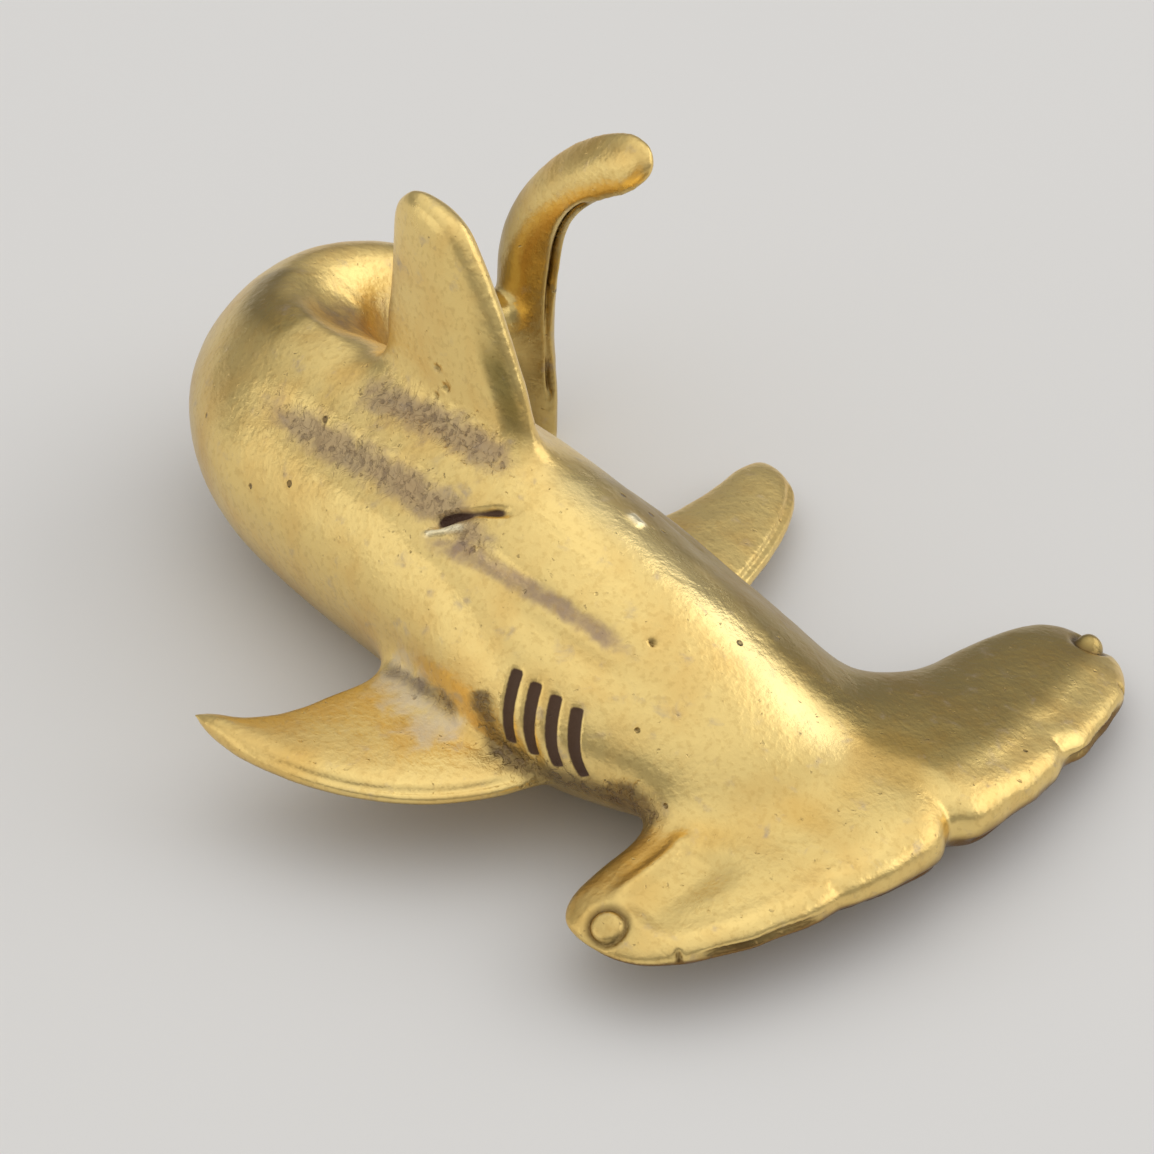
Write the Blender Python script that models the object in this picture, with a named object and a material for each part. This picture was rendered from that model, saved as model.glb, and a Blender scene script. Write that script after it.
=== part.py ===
"""Hammerhead shark figurine: one solid brass casting, curled round its own tail.

Units are metres once a surface is made; the sizes below are in millimetres.
+X is the way the head points, +Y is the shark's left and +Z is up.
The origin is the middle of the small flat under the belly that it rests on.
"""
import math

import bmesh
import bpy
import numpy as np

# One millimetre in metres
MM = 0.001

# How the casting leans onto its left side as it rests, degrees
LEAN = 5.0
HEAD_LEAN = 3.3

# Trunk: round, a little crested along the back, belly almost on the table
SNOUT_X = 24.2
BEND_X = -8.0
TRUNK_HALF_WIDTH = 6.0
TRUNK_HALF_HEIGHT = 6.3
NECK_HALF_WIDTH = 6.8
CREST = 0.30
LATERAL_GROOVE = 0.28
BELLY_FLAT = 0.30

# Tail: the trunk turns to the left and comes back beside itself
BEND_TURN = 168.0
BEND_RADIUS = 5.5
STOCK_LENGTH = 0.8
STOCK_HALF_WIDTH = 1.1
STOCK_HALF_HEIGHT = 1.7

# Hammer-shaped head
HEAD_SPAN = 28.9
HEAD_OFFSET = 3.7
HEAD_FRONT_X = 25.85
HEAD_CHORD = 8.6
HEAD_SWEEP = 3.4
HEAD_THICK = 2.3
HEAD_MID_Z = 3.4
HEAD_DROOP = 0.95
NOTCH_DEPTH = 1.0
NOTCH_OFFSET = 6.55
NOTCH_SHIFT = 0.45
RIGHT_FILLET = 7.5
LEFT_FILLET = 5.0
EYE_RADIUS = 0.75

# Dorsal fin
DORSAL_FRONT_X = 6.0
DORSAL_BASE = 11.0
DORSAL_HEIGHT = 9.8
DORSAL_THICK = 2.4
DORSAL_TIP = 2.3
DORSAL_ROUND = 1.3

# Pectoral fins: the right one is hooked, the left one longer and blunt
PECTORAL_ROOT = 11.5
RIGHT_REACH = 14.2
LEFT_REACH = 17.5
PECTORAL_THICK = 1.9
RIGHT_ROUND = 0.5
LEFT_ROUND = 1.6
PECTORAL_MID_X = 4.8
PECTORAL_MID_Z = 3.9
PECTORAL_DROP = 0.05

# Tail fin: a crescent standing on edge, its upper horn reaching forward
CAUDAL_ROOT_X = -11.2
CAUDAL_Y = 13.0
CAUDAL_TOP_Z = 16.5
CAUDAL_CHORD = 4.6
CAUDAL_THICK = 1.8

# Gill slits on each flank
GILL_COUNT = 4
GILL_FIRST_X = 10.4
GILL_SPACING = 0.93
GILL_WIDTH = 0.50
GILL_DEPTH = 0.65
GILL_TOP_TURN = 24.0
GILL_END_TURN = -9.0

# Cut mark on the right shoulder
MARK_X = 3.0
MARK_LENGTH = 3.1
MARK_WIDTH = 0.60
MARK_DEPTH = 0.45
MARK_FROM_TURN = 139.0
MARK_TO_TURN = 119.0

# How finely the solid is gathered and thinned
GATHER = 0.26
KEEP = 0.108


def smooth(x):
    """Ease from 0 to 1 without corners."""
    x = np.clip(x, 0.0, 1.0)
    return x * x * (3.0 - 2.0 * x)


def blend(x, stations, values):
    """A soft curve through a few stations."""
    stations = np.asarray(stations, float)
    values = np.asarray(values, float)
    x = np.asarray(x, float)
    slope = np.gradient(values, stations)
    i = np.clip(np.searchsorted(stations, x) - 1, 0, len(stations) - 2)
    step = stations[i + 1] - stations[i]
    t = np.clip((x - stations[i]) / step, 0.0, 1.0)
    start = (1 + 2 * t) * (1 - t) ** 2 * values[i] + t * (1 - t) ** 2 * step * slope[i]
    end = t * t * (3 - 2 * t) * values[i + 1] + t * t * (t - 1) * step * slope[i + 1]
    return start + end


def bezier(handles, count):
    """Points along a Bezier curve with any number of handles."""
    handles = np.asarray(handles, float)
    t = np.linspace(0.0, 1.0, count)[:, None]
    order = len(handles) - 1
    out = np.zeros((count, handles.shape[1]))
    for i in range(order + 1):
        out += math.comb(order, i) * t ** i * (1 - t) ** (order - i) * handles[i]
    return out


def loft(name, rings):
    """A closed solid through a stack of closed rings, with a point at each end."""
    rings = np.asarray(rings) * MM
    count, sides = rings.shape[:2]
    bm = bmesh.new()
    rows = [[bm.verts.new(p) for p in ring] for ring in rings]
    first = bm.verts.new(rings[0].mean(0))
    last = bm.verts.new(rings[-1].mean(0))
    for j in range(sides):
        k = (j + 1) % sides
        for i in range(count - 1):
            bm.faces.new((rows[i][j], rows[i][k], rows[i + 1][k], rows[i + 1][j]))
        bm.faces.new((first, rows[0][k], rows[0][j]))
        bm.faces.new((last, rows[-1][j], rows[-1][k]))
    bmesh.ops.recalc_face_normals(bm, faces=bm.faces)
    mesh = bpy.data.meshes.new(name)
    bm.to_mesh(mesh)
    bm.free()
    obj = bpy.data.objects.new(name, mesh)
    bpy.context.scene.collection.objects.link(obj)
    return obj


def lean_axes(forward, lean):
    """Left and up directions of a section that looks along forward."""
    forward = forward / np.linalg.norm(forward)
    left = np.cross([0.0, 0.0, 1.0], forward)
    left /= np.linalg.norm(left)
    up = np.cross(forward, left)
    c = math.cos(math.radians(lean))
    s = math.sin(math.radians(lean))
    return left * c - up * s, up * c + left * s


class Trunk:
    """Centre line and sections of the body and the tail stock, by length from the snout."""

    def __init__(self, count=200):
        self.straight = SNOUT_X - BEND_X
        self.arc = math.radians(BEND_TURN) * BEND_RADIUS
        self.total = self.straight + self.arc + STOCK_LENGTH
        s = np.linspace(0.0, self.total, count)
        u = np.clip((s - self.straight + 0.1 * self.arc) / (1.2 * self.arc), 0.0, 1.0)
        turn = math.radians(BEND_TURN) * (0.4 * u + 0.6 * smooth(u))
        step = np.gradient(s)
        x = SNOUT_X - np.concatenate([[0.0], np.cumsum(np.cos(turn) * step)[:-1]])
        y = np.concatenate([[0.0], np.cumsum(np.sin(turn) * step)[:-1]])
        y = y + HEAD_OFFSET * (1.0 - smooth(s / (0.5 * self.straight)))
        bend = self.straight + 0.5 * self.arc
        mid = TRUNK_HALF_HEIGHT - BELLY_FLAT
        z = blend(s, [0, 4, 7, 13, 19, 30, bend, self.total],
                  [HEAD_MID_Z - BELLY_FLAT, mid - 2.6, mid - 2.0, mid - 0.8, mid, mid, mid + 0.2, mid - 0.4])
        self.s = s
        self.points = np.stack([x, y, z], 1)
        self.forward = -np.gradient(self.points, axis=0)
        enter = self.straight + 0.25 * self.arc
        leave = self.straight + 0.75 * self.arc
        self.half_width = blend(s, [0, 4, 9, 14, 21, 29, enter, leave, self.total],
                                [1.2, 4.3, NECK_HALF_WIDTH - 0.6, NECK_HALF_WIDTH, TRUNK_HALF_WIDTH, 5.4, 4.5,
                                 2.9, STOCK_HALF_WIDTH])
        self.half_height = blend(s, [0, 4, 9, 14, 21, 29, enter, leave, self.total],
                                 [0.8, 1.8, 3.7, 5.2, TRUNK_HALF_HEIGHT, 6.1, 5.3, 3.7, STOCK_HALF_HEIGHT])

    def ring(self, i, angle):
        """Points of section i at the given angles; a quarter turn is the back."""
        left, up = lean_axes(self.forward[i], LEAN)
        back = np.clip(np.sin(angle), 0.0, 1.0)
        across = self.half_width[i] * np.cos(angle) * (1.0 - CREST * back ** 1.5)
        high = self.half_height[i] * np.sin(angle)
        on_flank = np.exp(-((np.abs(np.cos(angle)) - 0.78) / 0.06) ** 2) * (np.sin(angle) > 0.0)
        fade = smooth((self.s[i] - 9.0) / 5.0) * smooth((self.straight + 2.0 - self.s[i]) / 6.0)
        dent = 1.0 - LATERAL_GROOVE / self.half_height[i] * on_flank * fade
        return self.points[i] + np.outer(across * dent, left) + np.outer(high * dent, up)

    def solid(self):
        """The body and the tail stock as one tapering tube."""
        angle = np.linspace(0.0, 2.0 * math.pi, 96, endpoint=False)
        return loft("trunk", [self.ring(i, angle) for i in range(len(self.s))])

    def on_skin(self, x, angle):
        """A point on the skin of the straight trunk and the direction out of it."""
        angles = np.radians([angle - 3.0, angle, angle + 3.0])
        straight = [i for i in range(len(self.s)) if self.s[i] < self.straight]
        rings = np.array([self.ring(i, angles) for i in straight])
        k = int(np.argmax(rings[:, 1, 0] < x))
        share = (rings[k - 1, 1, 0] - x) / (rings[k - 1, 1, 0] - rings[k, 1, 0])
        near = rings[k - 1] + (rings[k] - rings[k - 1]) * share
        out = np.cross(near[2] - near[0], rings[k - 1, 1] - rings[k, 1])
        return near[1], out / np.linalg.norm(out)

    def groove(self, name, xs, angles, width, depth):
        """A cutter that follows the skin, deepest in the middle and fading at both ends."""
        rings = []
        steps = 9
        for k in range(steps):
            t = k / (steps - 1)
            x = xs[0] + (xs[1] - xs[0]) * t
            point, out = self.on_skin(x, angles[0] + (angles[1] - angles[0]) * t)
            ahead, _ = self.on_skin(xs[0] + (xs[1] - xs[0]) * (t + 0.02),
                                    angles[0] + (angles[1] - angles[0]) * (t + 0.02))
            run = (ahead - point) / np.linalg.norm(ahead - point)
            side = np.cross(run, out)
            fade = math.sin(math.pi * (0.06 + 0.88 * t)) ** 0.7
            deep = depth * fade
            half = 0.5 * width * (0.5 + 0.5 * fade)
            rings.append([point + side * half * 1.5 + out * 0.5, point + side * half * 0.6 - out * deep,
                          point - side * half * 0.6 - out * deep, point - side * half * 1.5 + out * 0.5])
        return as_cutter(loft(name, rings))


def as_cutter(obj):
    """Keep a cutting shape out of the picture."""
    obj.display_type = "WIRE"
    obj.hide_render = True
    return obj


class Hammer:
    """The head's two wings: one thick blade with a rounded, notched front."""

    def __init__(self):
        self.half = 0.5 * HEAD_SPAN
        self.left, self.up = lean_axes(np.array([1.0, 0.0, 0.0]), HEAD_LEAN)

    def outline(self, t):
        """Front and rear edge, end rounding and height at t, which runs -1 to 1 across."""
        y = self.half * t
        rounding = (1.0 - np.abs(t) ** 9) ** 0.45
        front = HEAD_FRONT_X - HEAD_SWEEP * np.abs(t) ** 2.3 * (1.0 - 0.08 * t)
        side_notches = (NOTCH_SHIFT + NOTCH_OFFSET, NOTCH_SHIFT - NOTCH_OFFSET)
        for place, share in ((0.0, 1.0), (side_notches[0], 0.55), (side_notches[1], 0.55)):
            front = front - share * NOTCH_DEPTH * np.exp(-(y - place) ** 2)
        fillet = np.where(y > 0.0, LEFT_FILLET, RIGHT_FILLET)
        rear = HEAD_FRONT_X - HEAD_CHORD + 0.3 * t * np.abs(t) - 2.1 * np.exp(-(np.abs(y) / fillet) ** 5)
        height = HEAD_MID_Z - BELLY_FLAT - HEAD_DROOP * t ** 2
        return y, front, rear, rounding, height

    def place(self, x, y, z):
        """A point given across the head and above the blade's root height."""
        return np.array([x, HEAD_OFFSET, 0.0]) + self.left * y + self.up * z

    def solid(self):
        """The blade itself."""
        t = np.sin(np.linspace(-0.5, 0.5, 121) * math.pi)
        y, front, rear, rounding, height = self.outline(t)
        middle = 0.5 * (front + rear)
        chord = 0.5 * (front - rear) * rounding + 0.05
        thick = HEAD_THICK * np.maximum(rounding, 0.12) * (0.35 + 0.65 * rounding)
        thick = thick * (1.0 + 0.9 * np.exp(-(y / 6.0) ** 2))
        angle = np.linspace(0.0, 2.0 * math.pi, 48, endpoint=False)
        along = np.cos(angle)
        swell = 0.5 * np.sign(np.sin(angle)) * np.abs(np.sin(angle)) ** 0.8 * (0.78 + 0.22 * along)
        rings = []
        for i in range(len(t)):
            centre = self.place(0.0, y[i], height[i])
            rings.append(centre + np.outer(middle[i] + chord[i] * along, [1.0, 0.0, 0.0])
                         + np.outer(thick[i] * swell, self.up))
        return loft("hammer", rings)

    def eye(self, side):
        """A low oval bead at the outer end of a wing."""
        t = np.array([side * 0.93])
        y, front, rear, _, height = self.outline(t)
        centre = self.place(float(0.5 * front[0] + 0.5 * rear[0]), float(y[0]), float(height[0]) + 0.35)
        angle = np.linspace(0.0, 2.0 * math.pi, 20, endpoint=False)
        rings = []
        for v in np.linspace(-0.48, 0.48, 13) * math.pi:
            flat = EYE_RADIUS * math.cos(v)
            rings.append(centre + np.outer(1.25 * flat * np.cos(angle), [1.0, 0.0, 0.0])
                         + np.outer(flat * np.sin(angle), self.left) + EYE_RADIUS * math.sin(v) * self.up)
        return loft("eye", rings)

    def nostril(self, side):
        """A short upright nick in the front edge, inboard of the eye."""
        t = np.array([side * 0.865])
        y, front, _, _, height = self.outline(t)
        rings = []
        for lift in (-0.1, 0.5, 1.1, 1.7):
            centre = self.place(float(front[0]), float(y[0]), float(height[0]) + lift)
            rings.append([centre + np.array([0.5, 0.0, 0.0]) + 0.28 * self.left,
                          centre + np.array([-0.7, 0.0, 0.0]) + 0.14 * self.left,
                          centre + np.array([-0.7, 0.0, 0.0]) - 0.14 * self.left,
                          centre + np.array([0.5, 0.0, 0.0]) - 0.28 * self.left])
        return as_cutter(loft("nostril", rings))


def blade(name, base, across, height, lead, trail, thick, tip_round):
    """A fin between a leading and a trailing edge that both run from root to tip."""
    reach = 0.5 * (lead[:, 1] + trail[:, 1])
    past = np.clip((reach - reach.max() + tip_round) / tip_round, 0.0, 0.998)
    close = np.sqrt(1.0 - past ** 2)
    angle = np.linspace(0.0, 2.0 * math.pi, 40, endpoint=False)
    toward_lead = 0.5 + 0.5 * np.cos(angle)
    swell = 0.5 * np.sin(angle) * (0.8 + 0.2 * np.cos(angle))
    rings = []
    for i in range(len(lead)):
        share = 0.5 + (toward_lead - 0.5) * close[i]
        x = trail[i][0] + (lead[i][0] - trail[i][0]) * share
        out = trail[i][1] + (lead[i][1] - trail[i][1]) * share
        rings.append(base + np.outer(x, [1.0, 0.0, 0.0]) + np.outer(out, height)
                     + np.outer(thick[i] * close[i] * swell, across))
    return loft(name, rings)


def fin_thickness(thick, flare, count):
    """Thickest at the root, where it flares into the body, and rounded at the tip."""
    t = np.linspace(0.0, 1.0, count)
    return thick * (1.0 - 0.42 * t) + 0.9 * np.exp(-t / flare)


def dorsal_fin():
    """The tall fin on the back, swept back and hollow along its rear edge."""
    left, up = lean_axes(np.array([1.0, 0.0, 0.0]), LEAN)
    base = np.array([0.0, 0.6, 2.0 * TRUNK_HALF_HEIGHT - BELLY_FLAT - 1.4])
    front = DORSAL_FRONT_X
    back = front - DORSAL_BASE
    tip = back + 2.2
    count = 50
    lead = bezier([(front + 1.2, -1.6), (front - 2.4, 0.42 * DORSAL_HEIGHT), (tip + 4.2, DORSAL_HEIGHT),
                   (tip + 0.6 * DORSAL_TIP, DORSAL_HEIGHT + 0.4)], count)
    trail = bezier([(back - 0.8, -1.6), (back + 1.4, 0.3 * DORSAL_HEIGHT), (back + 0.7, 0.75 * DORSAL_HEIGHT),
                    (tip - 0.4 * DORSAL_TIP, DORSAL_HEIGHT + 0.4)], count)
    return blade("dorsal_fin", base, left, up, lead, trail, fin_thickness(DORSAL_THICK, 0.12, count),
                 DORSAL_ROUND)


def pectoral_fin(side):
    """A side fin: side is 1 for the left one and -1 for the right one."""
    left, up = lean_axes(np.array([1.0, 0.0, 0.0]), LEAN)
    base = np.array([PECTORAL_MID_X, 0.0, PECTORAL_MID_Z - BELLY_FLAT])
    count = 50
    if side < 0:
        reach = RIGHT_REACH
        tip_round = RIGHT_ROUND
        lead = bezier([(8.1, 2.5), (8.3, 0.60 * reach), (5.3, 0.98 * reach), (-4.6, reach)], count)
        trail = bezier([(7.5 - PECTORAL_ROOT, 2.5), (-1.3, 0.40 * reach), (-1.2, 0.92 * reach),
                        (-5.0, reach - 0.3)], count)
    else:
        reach = LEFT_REACH
        tip_round = LEFT_ROUND
        lead = bezier([(5.6, 2.5), (3.6, 0.60 * reach), (0.9, 0.94 * reach), (-1.9, reach)], count)
        trail = bezier([(6.9 - PECTORAL_ROOT, 2.5), (-2.0, 0.40 * reach), (-2.6, 0.80 * reach),
                        (-4.4, reach - 0.1)], count)
    return blade("pectoral_fin", base, up, side * left - PECTORAL_DROP * up, lead, trail,
                 fin_thickness(PECTORAL_THICK, 0.2, count), tip_round)


def tail_fin():
    """The crescent, as sections along a curve from its lower to its upper horn."""
    x = CAUDAL_ROOT_X
    y = CAUDAL_Y
    top = CAUDAL_TOP_Z
    middle = bezier([(x + 3.7, y - 0.5, -0.7), (x + 2.4, y - 0.1, 0.3 * top), (x, y - 0.1, 0.51 * top),
                     (x + 2.2, y + 0.9, 0.87 * top), (x + 8.4, y + 1.5, 0.97 * top)], 70)
    t = np.linspace(0.0, 1.0, 70)
    way = np.gradient(middle, axis=0)
    flat = np.array([0.1, 1.0, 0.0])
    flat /= np.linalg.norm(flat)
    chord = np.cross(way, flat)
    chord /= np.linalg.norm(chord, axis=1)[:, None]
    marks = [0, 0.12, 0.4, 0.7, 0.9, 1.0]
    close = (1.0 - np.clip((t - 0.93) / 0.071, 0.0, 1.0) ** 2) ** 0.5
    width = CAUDAL_CHORD * blend(t, marks, [0.25, 0.5, 0.82, 0.62, 0.57, 0.5]) * close
    thick = CAUDAL_THICK * blend(t, marks, [0.4, 0.8, 1.2, 1.05, 0.95, 0.8]) * close
    angle = np.linspace(0.0, 2.0 * math.pi, 40, endpoint=False)
    rings = []
    for i in range(len(t)):
        rings.append(middle[i] + np.outer(0.5 * width[i] * np.cos(angle), chord[i])
                     + np.outer(0.5 * thick[i] * np.sin(angle), flat))
    return loft("tail_fin", rings)


def gather(name, pieces):
    """One object out of several overlapping closed surfaces."""
    bm = bmesh.new()
    for obj in pieces:
        bm.from_mesh(obj.data)
        bpy.data.objects.remove(obj, do_unlink=True)
    for face in bm.faces:
        face.smooth = True
    mesh = bpy.data.meshes.new(name)
    bm.to_mesh(mesh)
    bm.free()
    out = bpy.data.objects.new(name, mesh)
    bpy.context.scene.collection.objects.link(out)
    return out


def table_plane():
    """A block whose top face is the table; it takes the belly flat off the casting."""
    deep = 4.0
    half = 30.0
    rings = []
    for z in (-deep, 0.0):
        rings.append([(half, half, z), (-half, half, z), (-half, -half, z), (half, -half, z)])
    return as_cutter(loft("table_plane", rings))


def cut(obj, cutter):
    """Take a cutter away from the casting."""
    mod = obj.modifiers.new(cutter.name, "BOOLEAN")
    mod.operation = "DIFFERENCE"
    mod.solver = "EXACT"
    mod.object = cutter


def brass():
    """Aged brass."""
    material = bpy.data.materials.new("aged_brass")
    material.use_nodes = True
    shader = material.node_tree.nodes["Principled BSDF"]
    shader.inputs["Base Color"].default_value = (0.60, 0.42, 0.13, 1.0)
    shader.inputs["Metallic"].default_value = 1.0
    shader.inputs["Roughness"].default_value = 0.38
    return material


def main():
    """Build the casting."""
    for obj in list(bpy.data.objects):
        bpy.data.objects.remove(obj, do_unlink=True)
    trunk = Trunk()
    hammer = Hammer()
    pieces = [trunk.solid(), hammer.solid(), hammer.eye(1), hammer.eye(-1), dorsal_fin(),
              pectoral_fin(1), pectoral_fin(-1), tail_fin()]
    casting = gather("shark_casting", pieces)
    casting.data.materials.append(brass())

    remesh = casting.modifiers.new("gathered", "REMESH")
    remesh.mode = "VOXEL"
    remesh.voxel_size = GATHER * MM
    remesh.use_smooth_shade = True
    soften = casting.modifiers.new("fillets", "SMOOTH")
    soften.factor = 0.5
    soften.iterations = 8
    thin = casting.modifiers.new("thinned", "DECIMATE")
    thin.ratio = KEEP

    cut(casting, table_plane())
    left = (GILL_TOP_TURN, GILL_END_TURN)
    right = (180.0 - GILL_TOP_TURN, 180.0 - GILL_END_TURN)
    for k in range(GILL_COUNT):
        x = GILL_FIRST_X + k * GILL_SPACING
        rake = 0.80 + 0.15 * k
        cut(casting, trunk.groove("gill", (x, x + rake), right, GILL_WIDTH, GILL_DEPTH))
        cut(casting, trunk.groove("gill", (x, x + rake), left, GILL_WIDTH, GILL_DEPTH))
    mark = (MARK_X, MARK_X + MARK_LENGTH)
    cut(casting, trunk.groove("flank_mark", mark, (MARK_FROM_TURN, MARK_TO_TURN), MARK_WIDTH, MARK_DEPTH))
    cut(casting, hammer.nostril(1))
    cut(casting, hammer.nostril(-1))
    return casting


if __name__ == "__main__":
    main()
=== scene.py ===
"""Hammerhead shark figurine: the visual model of one solid brass casting.

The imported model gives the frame: +X is the way the head points, +Y the shark's left, +Z up, and
the origin is the middle of the small flat under the belly that the casting rests on. Sizes here
are in millimetres; meshes are made in metres.

The casting is one skin. Each limb is a closed surface worked out on a grid of two parameters;
the surfaces are fused into one skin, which is softened like worn metal, then carved along lines
drawn on it, and dressed in aged cast brass.
"""
from __future__ import annotations

import logging
import math
from collections.abc import Callable
from dataclasses import dataclass, field
from enum import Enum
from functools import partial

import bpy
import numpy as np
from mathutils import Matrix


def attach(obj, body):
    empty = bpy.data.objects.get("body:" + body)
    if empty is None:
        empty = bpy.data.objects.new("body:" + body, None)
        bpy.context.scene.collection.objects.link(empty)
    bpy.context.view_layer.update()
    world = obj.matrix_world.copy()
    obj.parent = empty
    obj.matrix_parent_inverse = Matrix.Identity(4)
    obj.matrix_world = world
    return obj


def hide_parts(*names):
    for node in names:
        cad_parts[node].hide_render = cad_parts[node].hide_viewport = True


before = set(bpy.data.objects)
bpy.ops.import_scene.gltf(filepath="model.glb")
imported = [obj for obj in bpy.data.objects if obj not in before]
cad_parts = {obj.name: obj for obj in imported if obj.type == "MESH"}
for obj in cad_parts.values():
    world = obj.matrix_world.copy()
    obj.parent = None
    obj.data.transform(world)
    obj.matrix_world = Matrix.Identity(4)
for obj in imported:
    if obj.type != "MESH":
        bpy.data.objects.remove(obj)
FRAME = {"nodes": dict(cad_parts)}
# The imported model's nodes, by name.
"""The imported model: its bodies, its nodes, its joints and its record."""

log = logging.getLogger("shark")

MM = 0.001
"""One millimetre in metres."""


class Side(Enum):
    """Left or right of the shark; the value is the sign of Y."""

    LEFT = 1
    RIGHT = -1


# curves and grids


def smooth(x: np.ndarray | float) -> np.ndarray:
    """Ease from 0 to 1 without corners: 3x^2 - 2x^3 with x held between 0 and 1."""
    x = np.clip(x, 0.0, 1.0)
    return x * x * (3.0 - 2.0 * x)


def blend(x: np.ndarray, stations: list[float], values: list[float]) -> np.ndarray:
    """A soft curve through a few stations.

    Between two stations it is the cubic that has the stations' values and the slopes of the
    polyline averaged at each of them.

    Args:
        x: Where the curve is wanted.
        stations: Rising places of the known values.
        values: The known values.

    Returns:
        The curve's value at each x.
    """
    at = np.asarray(stations, float)
    known = np.asarray(values, float)
    x = np.asarray(x, float)
    slope = np.gradient(known, at)
    i = np.clip(np.searchsorted(at, x) - 1, 0, len(at) - 2)
    step = at[i + 1] - at[i]
    t = np.clip((x - at[i]) / step, 0.0, 1.0)
    start = (1 + 2 * t) * (1 - t) ** 2 * known[i] + t * (1 - t) ** 2 * step * slope[i]
    end = t * t * (3 - 2 * t) * known[i + 1] + t * t * (t - 1) * step * slope[i + 1]
    return start + end


def bezier(handles: list[tuple[float, ...]], count: int) -> np.ndarray:
    """Points along a Bezier curve: the sum of handles weighted by Bernstein polynomials.

    Args:
        handles: Two or more handles of equal length.
        count: How many points.

    Returns:
        An array of count rows.
    """
    hand = np.asarray(handles, float)
    t = np.linspace(0.0, 1.0, count)[:, None]
    order = len(hand) - 1
    weights = [math.comb(order, i) * t ** i * (1 - t) ** (order - i) for i in range(order + 1)]
    return np.hstack(weights) @ hand


def lean_axes(forward: np.ndarray, lean: float) -> tuple[np.ndarray, np.ndarray]:
    """Left and up directions of sections that look along forward.

    Args:
        forward: One row for each section.
        lean: How far the sections lean to the left, degrees.

    Returns:
        The left and the up unit vectors, one row for each section.
    """
    ahead = forward / np.linalg.norm(forward, axis=-1, keepdims=True)
    left = np.cross([0.0, 0.0, 1.0], ahead)
    left /= np.linalg.norm(left, axis=-1, keepdims=True)
    up = np.cross(ahead, left)
    c = math.cos(math.radians(lean))
    s = math.sin(math.radians(lean))
    return left * c - up * s, up * c + left * s


@dataclass
class Shell:
    """A closed surface: its points in millimetres and its faces."""

    points: np.ndarray
    quads: np.ndarray
    triangles: np.ndarray


def tube(rings: np.ndarray) -> Shell:
    """Close a grid of rings into a shell.

    Row i and column j of the grid are joined to the next row and the next column, the columns
    run round, and each end is a fan to the middle of its ring.

    Args:
        rings: Grid of points, rings by sides by 3.

    Returns:
        The shell, with its faces outwards.
    """
    count, sides = rings.shape[:2]
    grid = np.arange(count * sides).reshape(count, sides)
    after = np.roll(grid, -1, axis=1)
    quads = np.stack([grid[:-1], after[:-1], after[1:], grid[1:]], -1).reshape(-1, 4)
    first = np.full(sides, count * sides)
    fans = np.vstack([np.stack([first, after[0], grid[0]], -1),
                      np.stack([first + 1, grid[-1], after[-1]], -1)])
    points = np.vstack([rings.reshape(-1, 3), rings[0].mean(0), rings[-1].mean(0)])
    corners = np.vstack([quads[:, [0, 1, 2]], quads[:, [0, 2, 3]], fans])
    a, b, c = (points[corners[:, k]] for k in range(3))
    if np.einsum("ij,ij->i", a, np.cross(b, c)).sum() < 0.0:
        quads = quads[:, ::-1]
        fans = fans[:, ::-1]
    return Shell(points, quads, fans)


# the limbs


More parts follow.
